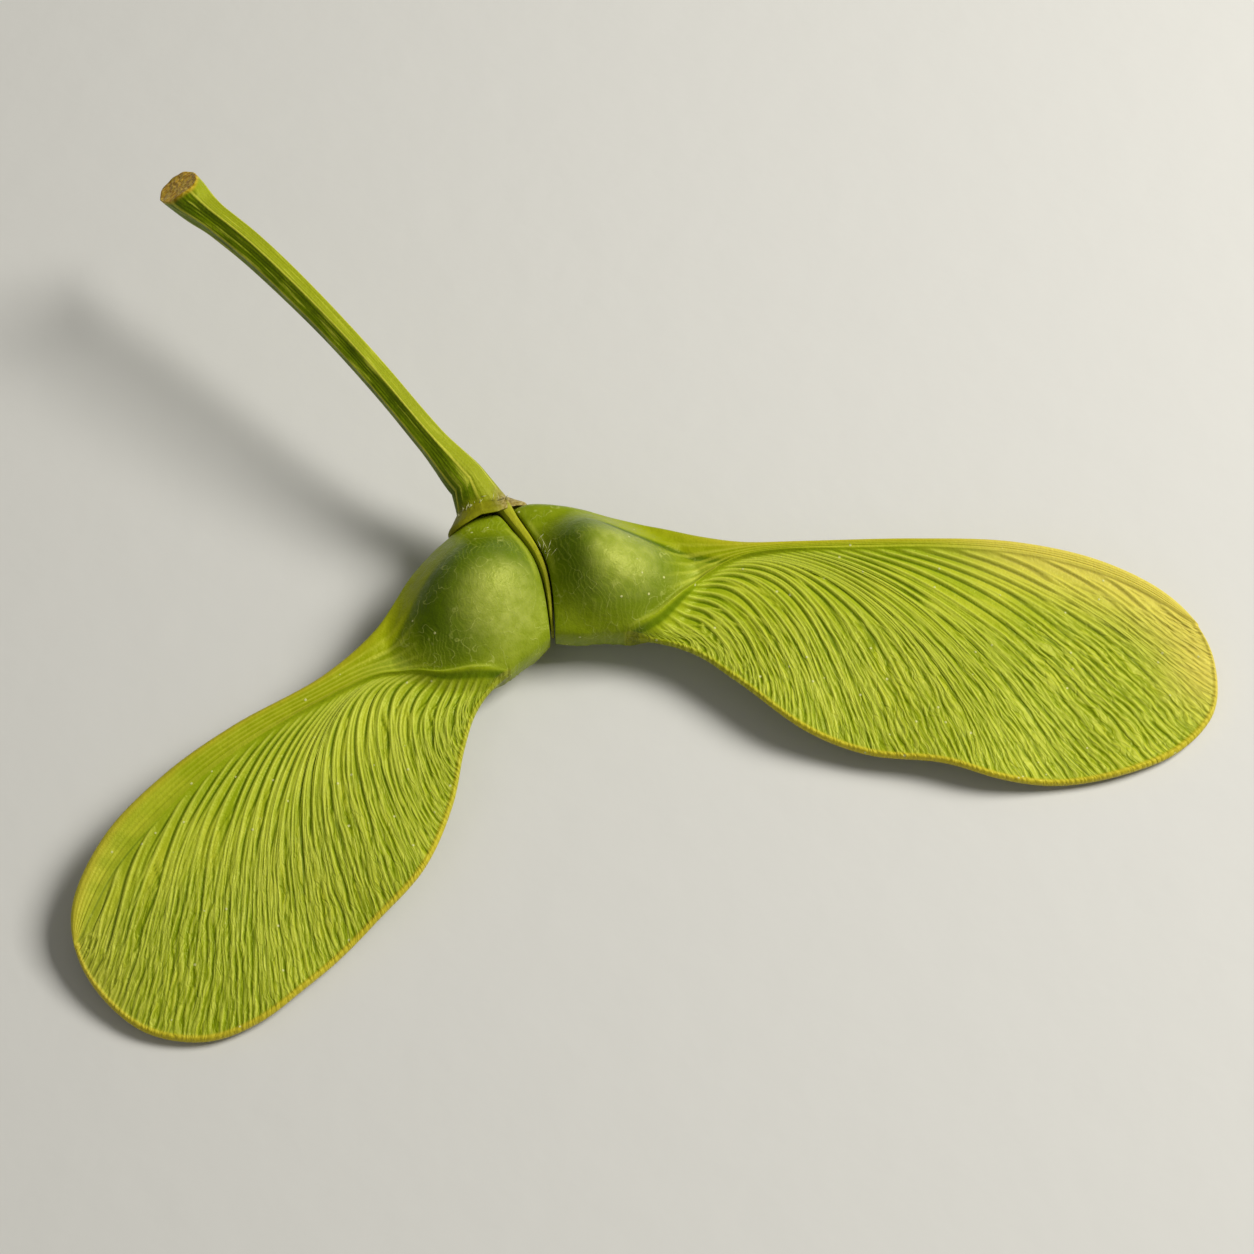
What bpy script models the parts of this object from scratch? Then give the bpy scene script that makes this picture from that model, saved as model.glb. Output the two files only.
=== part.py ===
"""A pair of green maple samaras on their stalk, lying on a flat surface.

The fruit has three pieces of its own: the stalk with its flared receptacle and the keel that runs
down between the nutlets, and two samaras, each a seed-bearing nutlet grown into one veined wing.
Everything is in metres with +Z up. +X runs across the span from wing tip to wing tip, +Y runs from
the wings towards the stalk, and the floor is Z = 0.
"""

import math
from dataclasses import dataclass

import bmesh
import bpy
import numpy as np
from mathutils import Vector

MM = 0.001

# Heights, in millimetres: the middle of the fruit stands this far above the floor at the seam.
FLOOR = 0.0
SEAM_HEIGHT = 3.6

# The seam between the two nutlets, in millimetres from the middle plane X = 0.
SEAM_TOP_Y = 0.6
SEAM_END_Y = -7.3
SEAM_HALF_AT_KEEL = 0.48
SEAM_HALF_BELOW_KEEL = 0.15
SEAM_SHARE = 0.80
SEAM_BOW = 0.75
SEAM_BOW_FADES = 6.0

# The nutlet: a dome on each face over a thick husk, about the size of a small pea.
NUTLET_RISE = 2.5
UNDERSIDE_SHARE = 0.87
NUTLET_FULLNESS = 2.3
NUTLET_ROUNDING = 1.7
NUTLET_WING_SIDE = 1.15
HUSK_HALF = 0.95
HUSK_FADES = (2.5, 7.5)
EDGE_SHARE = 0.35
EDGE_ROUNDING = 1.0

# The wing: a thin blade with a thick leading edge, raised veins and a beaded margin.
WING_ANGLE = math.radians(-31.0)
BLADE_HALF = 0.30
LEADING_HALF = 0.50
LEADING_STARTS = (5.0, 12.0)
MARGIN_HALF = 0.36
MARGIN_STARTS = (0.90, 0.97)
SUTURE_RISE = 0.20
SUTURE_STARTS = (3.0, 5.0)
SUTURE_FADES = (9.0, 14.0)
ARCH_RISE = 0.5
ARCH_STARTS = 5.0
ARCH_SHORT_OF_SPAN = 7.0
WAVE_RISE = 0.28
WAVE_LENGTH = 12.0
WAVE_ACROSS = (5.0, -6.0)
WAVE_STARTS = (8.0, 16.0)
WAVE_STOPS_BEFORE_TIP = (12.0, 5.0)

# The raised veins that leave the bundle below the leading edge and land on the margin.
VEIN_COUNT = 34
VEIN_RISE = 0.18
VEIN_ENDS = (0.93, 1.0)
VEIN_SWEEP = 0.40
VEIN_LANDING = 0.30
VEIN_LANDING_LEAN = (0.55, -0.8)
VEIN_LEAN_TURNS = (0.65, 1.0)
VEIN_LEAVING = (math.radians(58.0), math.radians(14.0))
VEIN_LEAVING_SETTLES = 0.32
VEIN_EVEN = 0.48
VEIN_POWER = 8
BUNDLE_WIDTH = 0.12

# How finely a samara is divided: stations along it, and columns across it.
CURVE_STEPS = 24
NUTLET_STATIONS = (0.0, 0.05, 0.16, 0.32, 0.5, 0.68, 0.85, 1.0)
BODY_COLUMNS = (0.0, 0.05, 0.16, 0.29, 0.43, 0.57, 0.71, 0.84, 0.95, 1.0)
BLADE_COLUMNS = (0.0, 0.1, 0.25, 0.41, 0.57, 0.73, 0.88, 0.97, 1.0)

# The stalk, from its cut end down to the receptacle, in millimetres and in shares of its length.
STALK_PATH = (
    (-11.1, 24.7, 9.6),
    (-10.3, 23.0, 9.4),
    (-8.3, 19.3, 9.0),
    (-6.0, 14.2, 8.2),
    (-4.2, 9.7, 7.3),
    (-2.6, 5.6, 6.0),
    (-1.35, 2.9, 4.75),
)
STALK_RINGS = 26
STALK_SIDES = 24
STALK_RIBS = 6
RIB_AT = math.radians(82.5)
RIB_RISE = 0.09
RIBS_START = 0.1
STALK_HALF = 0.86
WAIST = 0.10
WAIST_STARTS = (0.2, 0.6)
WAIST_ENDS = (0.75, 1.0)
CUT_HALF = 1.25
CUT_FLARE_ENDS = 0.14
CUT_LEAN = (0.25, 1.15)
CUT_LEAN_ENDS = 0.1
FOOT_STARTS = 0.87
FOOT_HALF_WIDTH = 1.15
FOOT_HALF_HEIGHT = 1.1

# The receptacle that saddles the nutlets. Each ring has a share of its width and height, and a lift.
RECEPTACLE_MIDDLE = (-0.95, 3.7)
RECEPTACLE_HALF_WIDTH = 2.45
RECEPTACLE_HALF_HEIGHT = 1.5
RECEPTACLE_RINGS = ((0.62, 0.82, 1.0), (0.83, 0.93, 0.55), (0.98, 1.0, 0.25), (0.96, 0.95, 0.0))
RECEPTACLE_GAP = 0.24
RECEPTACLE_WRAP = 0.5
RECEPTACLE_SCAR = (-0.5, 1.3)
RECEPTACLE_SCAR_DROP = 0.35

# The keel between the nutlets. Each ring has its place along Y, and a share of its width and height.
KEEL_HALF_WIDTH = 0.28
KEEL_HALF_HEIGHT = 1.95
KEEL_DROOP = 0.13
KEEL_OFFSET = 0.02
KEEL_RINGS = (
    (1.1, 1.6, 0.56),
    (-0.2, 1.22, 0.60),
    (-1.5, 1.03, 0.62),
    (-2.6, 0.90, 0.70),
    (-3.7, 0.76, 0.75),
    (-4.9, 0.6, 0.62),
    (-6.9, 0.3, 0.28),
)

SHARP_ANGLE = math.radians(50.0)
WELD = 0.002
COLOURS = {
    "samara": (0.30, 0.42, 0.03, 1.0),
    "stalk": (0.26, 0.36, 0.04, 1.0),
}


@dataclass
class Samara:
    """One samara in plan, in millimetres. X counts away from the seam, on either side of it."""

    name: str
    side: int
    nutlet_centre: tuple
    nutlet_along: float
    nutlet_across: float
    leading: tuple
    trailing: tuple
    bundle: tuple
    shoulder_at: float
    pole_at: float
    droop: float


RIGHT = Samara(
    name="samara_right",
    side=1,
    nutlet_centre=(3.9, -4.8),
    nutlet_along=4.9,
    nutlet_across=3.7,
    leading=(
        (SEAM_HALF_AT_KEEL, SEAM_TOP_Y), (1.4, 0.6), (3.2, -0.15), (5.6, -1.5), (8.0, -3.0),
        (10.0, -4.35), (12.0, -5.45), (15.2, -6.6), (21.2, -8.6), (26.4, -10.6),
        (30.6, -13.2), (33.3, -16.1), (34.3, -18.5),
    ),
    trailing=(
        (34.3, -20.8), (33.1, -23.4), (30.4, -24.9), (27.0, -25.2), (23.3, -24.6),
        (20.2, -23.35), (17.4, -21.35), (13.8, -19.35), (10.9, -16.8), (8.6, -13.0),
        (7.3, -11.0), (5.7, -9.6), (3.0, -8.25), (1.2, -7.75), (SEAM_HALF_BELOW_KEEL, SEAM_END_Y),
    ),
    bundle=(
        (5.6, -8.35), (7.6, -7.5), (9.4, -6.75), (11.2, -6.4), (13.6, -6.75),
        (18.5, -8.3), (23.0, -9.9), (27.5, -12.0), (31.4, -14.9),
    ),
    shoulder_at=6.2,
    pole_at=3.9,
    droop=0.130,
)

LEFT = Samara(
    name="samara_left",
    side=-1,
    nutlet_centre=(3.7, -4.2),
    nutlet_along=4.9,
    nutlet_across=4.0,
    leading=(
        (SEAM_HALF_AT_KEEL, SEAM_TOP_Y), (1.4, 0.75), (3.4, 0.2), (6.1, -1.15), (9.2, -3.65),
        (12.8, -5.35), (18.3, -6.55), (22.6, -7.95), (26.7, -10.15), (29.4, -13.1), (30.0, -15.4),
    ),
    trailing=(
        (29.6, -18.0), (27.9, -20.9), (25.0, -22.5), (22.0, -22.5), (18.9, -21.45),
        (14.7, -19.55), (11.2, -17.7), (8.4, -14.5), (6.8, -11.8), (5.5, -10.0),
        (4.1, -8.9), (2.3, -8.2), (1.1, -7.8), (SEAM_HALF_BELOW_KEEL, SEAM_END_Y),
    ),
    bundle=(
        (4.6, -8.05), (6.4, -7.6), (8.1, -6.75), (9.8, -6.35), (13.0, -6.8),
        (18.3, -8.0), (22.6, -9.7), (26.6, -12.0),
    ),
    shoulder_at=6.2,
    pole_at=3.0,
    droop=0.146,
)


def ease(value, start, end):
    """0 before start, 1 after end, and a smooth step between them."""
    t = np.clip((value - start) / (end - start), 0.0, 1.0)
    return t * t * (3 - 2 * t)


def unit(vectors):
    return vectors / np.linalg.norm(vectors, axis=-1, keepdims=True)


def quarter_round(gap, width):
    """0 at no gap and 1 from the width on, rising on a quarter circle."""
    return np.sqrt(1 - (1 - np.clip(gap / width, 0.0, 1.0)) ** 2)


def smooth_curve(points):
    """A dense smooth curve through the points, with the same number of steps between each two."""
    p = np.array(points, float)
    steps = np.sqrt(np.linalg.norm(np.diff(p, axis=0), axis=1))
    slopes = np.diff(p, axis=0) / steps[:, None]
    before, after = steps[:-1, None], steps[1:, None]
    inner = (slopes[1:] * before + slopes[:-1] * after) / (before + after)
    tangents = np.vstack([slopes[:1], inner, slopes[-1:]])
    t = np.linspace(0.0, 1.0, CURVE_STEPS, endpoint=False)[:, None]
    spans = []
    for i, step in enumerate(steps):
        spans.append(
            (2 * t**3 - 3 * t**2 + 1) * p[i]
            + (t**3 - 2 * t**2 + t) * step * tangents[i]
            + (3 * t**2 - 2 * t**3) * p[i + 1]
            + (t**3 - t**2) * step * tangents[i + 1]
        )
    return np.vstack([*spans, p[-1:]])


def lengths_along(dense):
    """The distance along a dense curve at each of its points."""
    return np.concatenate([[0.0], np.cumsum(np.linalg.norm(np.diff(dense, axis=0), axis=1))])


def points_at(dense, distances):
    """The points of a dense curve at these distances along it."""
    along = lengths_along(dense)
    return np.stack([np.interp(distances, along, column) for column in dense.T], axis=-1)


def turned_to_blade(directions, angles):
    """Directions turned by these angles from the leading edge's side towards the trailing side."""
    turn, lean = np.cos(angles), np.sin(angles)
    x, y = directions.T
    return np.stack([turn * x + lean * y, turn * y - lean * x], axis=1)


def blade_plan(origins, landings):
    """Veins leave the bundle forwards and bend round to the margin: one curve for each origin."""
    chord = np.linalg.norm(landings - origins, axis=1)[:, None]
    shares = np.linspace(0.0, 1.0, len(origins))
    settled = ease(shares, 0.0, VEIN_LEAVING_SETTLES)
    turn = VEIN_LEAVING[0] + (VEIN_LEAVING[1] - VEIN_LEAVING[0]) * settled
    leaving = turned_to_blade(unit(np.gradient(origins, axis=0)), turn)
    round_margin = unit(np.gradient(landings, axis=0))
    inward = turned_to_blade(round_margin, np.full(len(origins), -math.pi / 2))
    back, on = VEIN_LANDING_LEAN
    leans = back + (on - back) * ease(shares, *VEIN_LEAN_TURNS)
    lean = unit(inward - leans[:, None] * round_margin)
    v = np.array(BLADE_COLUMNS)[None, :, None]
    first = (origins + VEIN_SWEEP * chord * leaving)[:, None]
    second = (landings + VEIN_LANDING * chord * lean)[:, None]
    return (
        (1 - v) ** 3 * origins[:, None]
        + 3 * (1 - v) ** 2 * v * first
        + 3 * (1 - v) * v**2 * second
        + v**3 * landings[:, None]
    )


def plan_of(samara, vein_steps):
    """The body and the blade in plan, as two grids that share the bundle line, and the outline."""
    outline = smooth_curve(samara.leading + samara.trailing)
    along = lengths_along(outline)
    tip = along[CURVE_STEPS * (len(samara.leading) - 1)]
    pole = along[-1] - samara.pole_at
    bundle = smooth_curve((points_at(outline, pole), *samara.bundle, points_at(outline, tip)))
    shares = np.linspace(0.0, 1.0, vein_steps + 1)
    crowded = VEIN_EVEN * shares + (1 - VEIN_EVEN) * shares**VEIN_POWER
    nutlet = np.array(NUTLET_STATIONS)
    past_shoulder = samara.shoulder_at + crowded[1:] * (tip - samara.shoulder_at)
    leading = points_at(outline, np.concatenate([nutlet * samara.shoulder_at, past_shoulder]))
    origins = points_at(bundle, crowded * lengths_along(bundle)[-1])
    landings = points_at(outline, pole + shares * (tip - pole))
    inner = np.vstack([points_at(outline, along[-1] - nutlet[:-1] * samara.pole_at), origins])
    q = np.array(BODY_COLUMNS)[None, :, None]
    body = leading[:, None] * (1 - q) + inner[:, None] * q
    return body, blade_plan(origins, landings), outline


def along_wing(x, y):
    """The same offset counted along the wing and across it."""
    turn, lean = math.cos(WING_ANGLE), math.sin(WING_ANGLE)
    return turn * x + lean * y, turn * y - lean * x


def middle_height(x, y, samara):
    """The middle of the samara: a plane that droops to the tip, arched along it and waved at its edge."""
    reach, across = along_wing(x, y - samara.nutlet_centre[1])
    span = np.hypot(*samara.trailing[1])
    arched = np.clip((reach - ARCH_STARTS) / (span - ARCH_SHORT_OF_SPAN), 0.0, 1.0)
    arch = ARCH_RISE * np.sin(math.pi * arched)
    before_tip = 1 - ease(reach, *(span - np.array(WAVE_STOPS_BEFORE_TIP)))
    waved = ease(across, *WAVE_ACROSS) * ease(reach, *WAVE_STARTS) * before_tip
    wave = WAVE_RISE * waved * np.sin(2 * math.pi * reach / WAVE_LENGTH + samara.side)
    return SEAM_HEIGHT + samara.droop * y + arch + wave


def seam_bow(x, y):
    """How far the seam, and what lies near it, bends over towards the right-hand nutlet."""
    down = np.clip((SEAM_TOP_Y - y) / (SEAM_TOP_Y - SEAM_END_Y), 0.0, 1.0)
    return SEAM_BOW * np.sin(math.pi * down) * (1 - ease(x, 0.0, SEAM_BOW_FADES))


def dome(x, y, samara):
    """The nutlet's swelling over the seed: 1 at its top and 0 outside its oval."""
    along, across = along_wing(x - samara.nutlet_centre[0], y - samara.nutlet_centre[1])
    along = np.where(along > 0, along / NUTLET_WING_SIDE, along)
    radius = np.hypot(along / samara.nutlet_along, across / samara.nutlet_across)
    return np.clip(1 - radius**NUTLET_FULLNESS, 0.0, 1.0) ** NUTLET_ROUNDING


def body_half(body, outline, samara, rise):
    """Half the thickness of the nutlet, its husk and the leading edge."""
    x, y = body[..., 0], body[..., 1]
    swell = HUSK_HALF * (1 - ease(x, *HUSK_FADES)) + rise * dome(x, y, samara)
    from_edge = np.linalg.norm(body[:, :, None] - outline, axis=-1).min(axis=-1)
    swell *= EDGE_SHARE + (1 - EDGE_SHARE) * quarter_round(from_edge, EDGE_ROUNDING)
    from_seam = x - np.minimum(x[:1], SEAM_HALF_AT_KEEL)
    swell *= SEAM_SHARE + (1 - SEAM_SHARE) * quarter_round(from_seam, EDGE_ROUNDING)
    rib = (LEADING_HALF - BLADE_HALF) * ease(x, *LEADING_STARTS) * (1 - 0.5 * np.array(BODY_COLUMNS))
    suture = np.zeros_like(x)
    suture[:, -1] = SUTURE_RISE * ease(x[:, -1], *SUTURE_STARTS) * (1 - ease(x[:, -1], *SUTURE_FADES))
    return BLADE_HALF + swell + rib + suture


def blade_half(at_bundle, steps):
    """Half the thickness of the blade: thin between its veins, with a bead along its margin."""
    v = np.array(BLADE_COLUMNS)[None, :]
    is_vein = (np.arange(steps + 1) % 2)[:, None]
    veins = VEIN_RISE * is_vein * ease(v, 0.0, BUNDLE_WIDTH) * (1 - ease(v, *VEIN_ENDS))
    bundle = (at_bundle - BLADE_HALF)[:, None] * (1 - ease(v, 0.0, BUNDLE_WIDTH))
    margin = (MARGIN_HALF - BLADE_HALF) * ease(v, *MARGIN_STARTS)
    return BLADE_HALF + veins + bundle + margin


def both_halves(body, outline, samara, rise, steps):
    """Half the thickness of the body and of the blade, alike along the line that they share."""
    thick = body_half(body, outline, samara, rise)
    nutlet_rows = len(NUTLET_STATIONS) - 1
    thin = blade_half(thick[nutlet_rows:, -1], steps)
    thin[0, :] = thick[nutlet_rows, -1]
    thick[-1, :] = thin[-1, :] = MARGIN_HALF
    return thick, thin


def triangle_sheet(mesh, plan, high, low, side):
    """A flat sheet of triangles over a plan grid. Each point keeps its height above and below."""
    above, below = mesh.verts.layers.float["above"], mesh.verts.layers.float["below"]
    x = side * plan[..., 0] + seam_bow(plan[..., 0], plan[..., 1])
    points = np.empty(x.shape, object)
    for i, j in np.ndindex(points.shape):
        point = mesh.verts.new((x[i, j] * MM, plan[i, j, 1] * MM, 0.0))
        point[above], point[below] = high[i, j] * MM, low[i, j] * MM
        points[i, j] = point
    for i, j in np.ndindex(points.shape[0] - 1, points.shape[1] - 1):
        a, b, c, d = points[i, j], points[i + 1, j], points[i + 1, j + 1], points[i, j + 1]
        mesh.faces.new((a, b, c))
        mesh.faces.new((a, c, d))


def make_samara(samara):
    """The mesh of one samara: a flat sheet of triangles, grown into an upper and a lower face."""
    steps = 2 * VEIN_COUNT
    body, blade, outline = plan_of(samara, steps)
    upper = both_halves(body, outline, samara, NUTLET_RISE, steps)
    lower = both_halves(body, outline, samara, UNDERSIDE_SHARE * NUTLET_RISE, steps)
    mesh = bmesh.new()
    for layer in ("above", "below"):
        mesh.verts.layers.float.new(layer)
    for plan, up, down in zip((body, blade), upper, lower):
        middle = middle_height(plan[..., 0], plan[..., 1], samara)
        triangle_sheet(mesh, plan, middle + up, np.maximum(middle - down, FLOOR), samara.side)
    bmesh.ops.remove_doubles(mesh, verts=mesh.verts, dist=WELD * MM)
    grown = bmesh.ops.extrude_face_region(mesh, geom=list(mesh.faces), use_keep_orig=True)["geom"]
    above, below = mesh.verts.layers.float["above"], mesh.verts.layers.float["below"]
    for point in mesh.verts:
        point.co.z = point[below]
    for point in grown:
        if isinstance(point, bmesh.types.BMVert):
            point.co.z = point[above]
    return finished(mesh, samara.name)


def finished(mesh, name):
    """A mesh of triangles that face outwards."""
    bmesh.ops.triangulate(mesh, faces=mesh.faces)
    bmesh.ops.recalc_face_normals(mesh, faces=mesh.faces)
    data = bpy.data.meshes.new(name)
    mesh.to_mesh(data)
    mesh.free()
    return data


def stalk_rings(angles):
    """Rings of points from the cut end of the stalk down its ribbed shaft to its foot."""
    path = smooth_curve(STALK_PATH)
    shares = np.linspace(0.0, 1.0, STALK_RINGS)
    centres = points_at(path, shares * lengths_along(path)[-1])
    forward = unit(np.gradient(centres, axis=0))
    sideways = unit(np.cross(forward, (0.0, 0.0, 1.0)))
    upwards = np.cross(sideways, forward)
    rings = []
    for share, centre, f, s, u in zip(shares, centres, forward, sideways, upwards):
        flare = (CUT_HALF - STALK_HALF) * (1 - ease(share, 0.0, CUT_FLARE_ENDS))
        waist = 1 - WAIST * ease(share, *WAIST_STARTS) * (1 - ease(share, *WAIST_ENDS))
        shaft = (STALK_HALF + flare) * waist
        foot = ease(share, FOOT_STARTS, 1.0)
        wide = shaft + (FOOT_HALF_WIDTH - STALK_HALF) * foot
        high = shaft + (FOOT_HALF_HEIGHT - STALK_HALF) * foot
        flutes = np.abs(np.sin(STALK_RIBS / 2 * (angles - RIB_AT)))
        ribs = 1 + RIB_RISE * (1 - 2 * flutes) * (1 - foot) * ease(share, 0.0, RIBS_START)
        across = (wide * ribs * np.cos(angles))[:, None] * s
        above = (high * ribs * np.sin(angles))[:, None] * u
        lean = CUT_LEAN[0] * np.cos(angles) + CUT_LEAN[1] * np.sin(angles)
        lean *= 1 - ease(share, 0.0, CUT_LEAN_ENDS)
        rings.append(centre + across + above + lean[:, None] * f)
    return rings


def nutlet_shoulder(x):
    """Y of the nutlets' upper outline, from the left one across to the right one."""
    points = [(-a, b) for a, b in reversed(LEFT.leading[:5])] + list(RIGHT.leading[:5])
    return np.interp(x, *zip(*points))


def receptacle_rings(angles):
    """The collar that saddles the nutlets' shoulders."""
    rings = []
    for wide, high, lift in RECEPTACLE_RINGS:
        x = RECEPTACLE_MIDDLE[0] - wide * RECEPTACLE_HALF_WIDTH * np.cos(angles)
        scar = ease(x, *RECEPTACLE_SCAR)
        tall = high * RECEPTACLE_HALF_HEIGHT * (1 - RECEPTACLE_SCAR_DROP * scar)
        z = RECEPTACLE_MIDDLE[1] + tall * np.sin(angles)
        wrap = RECEPTACLE_WRAP * (1 - scar) * np.sin(angles) ** 2
        y = nutlet_shoulder(x) + RECEPTACLE_GAP + lift - wrap
        rings.append(np.stack([x, y, z], axis=1))
    return rings


def squared(values):
    """Cosines or sines that carry a ring out into the corners, so that it is nearly a rectangle."""
    return np.sign(values) * np.sqrt(np.abs(values))


def keel_rings(angles):
    """The thin flat-topped keel that runs down the seam from the receptacle."""
    rings = []
    for y, wide, high in KEEL_RINGS:
        x = seam_bow(0.0, y) + KEEL_OFFSET - wide * KEEL_HALF_WIDTH * squared(np.cos(angles))
        z = SEAM_HEIGHT + KEEL_DROOP * y + high * KEEL_HALF_HEIGHT * squared(np.sin(angles))
        rings.append(np.stack([x, np.full_like(x, y), z], axis=1))
    return rings


def make_stalk():
    """The mesh of the stalk: a loft through its rings, closed at the cut end and the keel's tip."""
    angles = RIB_AT + np.linspace(0.0, 2 * math.pi, STALK_SIDES, endpoint=False)
    rings = stalk_rings(angles) + receptacle_rings(angles) + keel_rings(angles)
    mesh = bmesh.new()
    loops = [[mesh.verts.new(Vector(p) * MM) for p in ring] for ring in rings]
    for near, far in zip(loops, loops[1:]):
        for i in range(STALK_SIDES):
            k = (i + 1) % STALK_SIDES
            mesh.faces.new((near[i], near[k], far[k], far[i]))
    for loop in (loops[0], loops[-1]):
        centre = mesh.verts.new(sum((v.co for v in loop), Vector()) / STALK_SIDES)
        for i in range(STALK_SIDES):
            mesh.faces.new((loop[i], loop[(i + 1) % STALK_SIDES], centre))
    return finished(mesh, "stalk")


def make_material(name):
    """A plain leaf-green Principled material."""
    material = bpy.data.materials.new(name)
    material.use_nodes = True
    shader = material.node_tree.nodes["Principled BSDF"]
    shader.inputs["Base Color"].default_value = COLOURS[name]
    shader.inputs["Roughness"].default_value = 0.45
    shader.inputs["Metallic"].default_value = 0.0
    return material


def add_object(data, material, collection, parent):
    """An object for one piece, smooth where it is round and sharp at its edges."""
    piece = bpy.data.objects.new(data.name, data)
    data.materials.append(material)
    data.shade_smooth()
    data.set_sharp_from_angle(angle=SHARP_ANGLE)
    collection.objects.link(piece)
    piece.parent = parent
    return piece


def main():
    for old in list(bpy.data.objects):
        bpy.data.objects.remove(old)
    fruit = bpy.data.collections.new("maple_samara")
    bpy.context.scene.collection.children.link(fruit)
    origin = bpy.data.objects.new("maple_samara_origin", None)
    fruit.objects.link(origin)
    green = make_material("samara")
    pieces = [add_object(make_samara(s), green, fruit, origin) for s in (LEFT, RIGHT)]
    pieces.append(add_object(make_stalk(), make_material("stalk"), fruit, origin))
    corners = np.array([v.co for piece in pieces for v in piece.data.vertices])
    middle = (corners.min(axis=0) + corners.max(axis=0)) / 2
    origin.location = (-middle[0], -middle[1], 0.0)
    print("pieces moved by", [round(x / MM, 3) for x in origin.location], "mm")


main()
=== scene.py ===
# %% [markdown]
# # A green maple samara, up close
# A maple's fruit is a pair of nutlets, each grown into a papery wing, that hang on one stalk. This
# lesson loads the fruit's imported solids, and lays finer pieces over them: wings with forking veins,
# nutlets with a husk round a swollen seed, a ribbed stalk with a torn end, and a few fine hairs.
# Everything is in metres. The numbers in the tables are millimetres, as on the real fruit.

import math

import bpy
import numpy as np
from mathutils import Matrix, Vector


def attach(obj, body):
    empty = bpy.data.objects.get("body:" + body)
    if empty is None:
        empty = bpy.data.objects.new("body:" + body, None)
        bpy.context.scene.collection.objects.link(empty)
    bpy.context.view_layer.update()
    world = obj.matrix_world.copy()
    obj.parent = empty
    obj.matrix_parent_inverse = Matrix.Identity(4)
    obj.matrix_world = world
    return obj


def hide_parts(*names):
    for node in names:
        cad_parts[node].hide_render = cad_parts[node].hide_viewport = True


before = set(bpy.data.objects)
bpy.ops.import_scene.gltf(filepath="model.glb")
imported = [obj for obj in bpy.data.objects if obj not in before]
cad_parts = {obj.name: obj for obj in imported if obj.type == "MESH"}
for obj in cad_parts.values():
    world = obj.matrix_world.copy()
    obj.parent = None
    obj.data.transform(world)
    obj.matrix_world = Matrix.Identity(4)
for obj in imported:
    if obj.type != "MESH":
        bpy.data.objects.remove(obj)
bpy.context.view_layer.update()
MM = 0.001
print("solids:", sorted(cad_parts))

# %% [markdown]
# The camera stands where the photographer's did: 60 degrees above the table, with the fruit turned
# about 21 degrees on it, through a long lens. A long lens keeps the near wing from looking large.

# %% Camera
EYE = Vector((-32.24, -98.81, 170.08)) * MM
TARGET = Vector((2.47, -6.96, 0.0)) * MM
LENS = 100.0
SENSOR = 36.0

camera_data = bpy.data.cameras.new("camera")
camera_data.lens = LENS
camera_data.sensor_fit = "HORIZONTAL"
camera_data.sensor_width = SENSOR
camera_data.clip_start = 0.01
camera = bpy.data.objects.new("camera", camera_data)
camera.location = EYE
camera.rotation_euler = (TARGET - EYE).to_track_quat("-Z", "Y").to_euler()
bpy.context.scene.collection.objects.link(camera)
bpy.context.scene.camera = camera
print("camera is", round((TARGET - EYE).length / MM), "mm away")

# %% [markdown]
# Materials are networks of nodes. Two helpers keep them short: one turns the hex colours that a
# painter would pick into the linear values that the renderer works with, and one adds a node, sets
# it, and links what feeds it.


# %% Helpers for materials
def colour(hex_text):
    """A colour written as sRGB hex, in linear values."""
    shares = [int(hex_text[i : i + 2], 16) / 255 for i in (0, 2, 4)]
    return [s / 12.92 if s <= 0.04045 else ((s + 0.055) / 1.055) ** 2.4 for s in shares] + [1.0]


def add(tree, kind, inputs=None, **settings):
    """Adds a node with these settings. An input is a value, or the socket that feeds it."""
    node = tree.nodes.new(kind)
    for name, value in settings.items():
        setattr(node, name, value)
    for name, value in (inputs or {}).items():
        if isinstance(value, bpy.types.NodeSocket):
            tree.links.new(value, node.inputs[name])
        else:
            node.inputs[name].default_value = value
    return node


def new_material(name):
    """An empty material, and the tree of its nodes."""
    material = bpy.data.materials.new(name)
    material.use_nodes = True
    material.node_tree.nodes.clear()
    return material, material.node_tree


# %% [markdown]
# The table is a plain pale sheet. A large soft lamp high on the right gives each vein a lit side and
# a dark side and each nutlet a broad pale sheen, as in the photograph. The materials add painted
# shade beside each vein and in the grooves, a painted highlight on each nutlet, and a painted lit
# side on the stalk. A weak lamp on the other side keeps the shadows open.

# %% Table and light
LAMPS = {
    "key": {"from": (0.69, -0.06, 0.71), "away": 320, "size": 140, "watts": 1.16, "tint": "FFFDF8"},
    "fill": {"from": (-0.75, -0.55, 0.60), "away": 380, "size": 300, "watts": 0.11, "tint": "FFFDFA"},
}
WORLD_LIGHT = 0.16
FLOOR_DROP = 0.02

bpy.ops.object.select_all(action="DESELECT")
bpy.ops.mesh.primitive_plane_add(size=3.0, location=(0, 0, -FLOOR_DROP * MM))
table = bpy.context.object
table.name = "table"
paper, tree = new_material("matt_paper")
paper_grain = add(tree, "ShaderNodeTexNoise", {"Scale": 900.0, "Detail": 3.0})
paper_bump = add(tree, "ShaderNodeBump", {"Height": paper_grain.outputs[0], "Strength": 0.05})
paper_face = add(
    tree,
    "ShaderNodeBsdfPrincipled",
    {"Base Color": colour("D9D8D3"), "Roughness": 0.9, "Normal": paper_bump.outputs[0]},
)
add(tree, "ShaderNodeOutputMaterial", {"Surface": paper_face.outputs[0]})
table.data.materials.append(paper)

world = bpy.data.worlds.new("studio")
bpy.context.scene.world = world
world.use_nodes = True
world.node_tree.nodes["Background"].inputs["Color"].default_value = colour("F5F4EC")
world.node_tree.nodes["Background"].inputs["Strength"].default_value = WORLD_LIGHT

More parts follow.
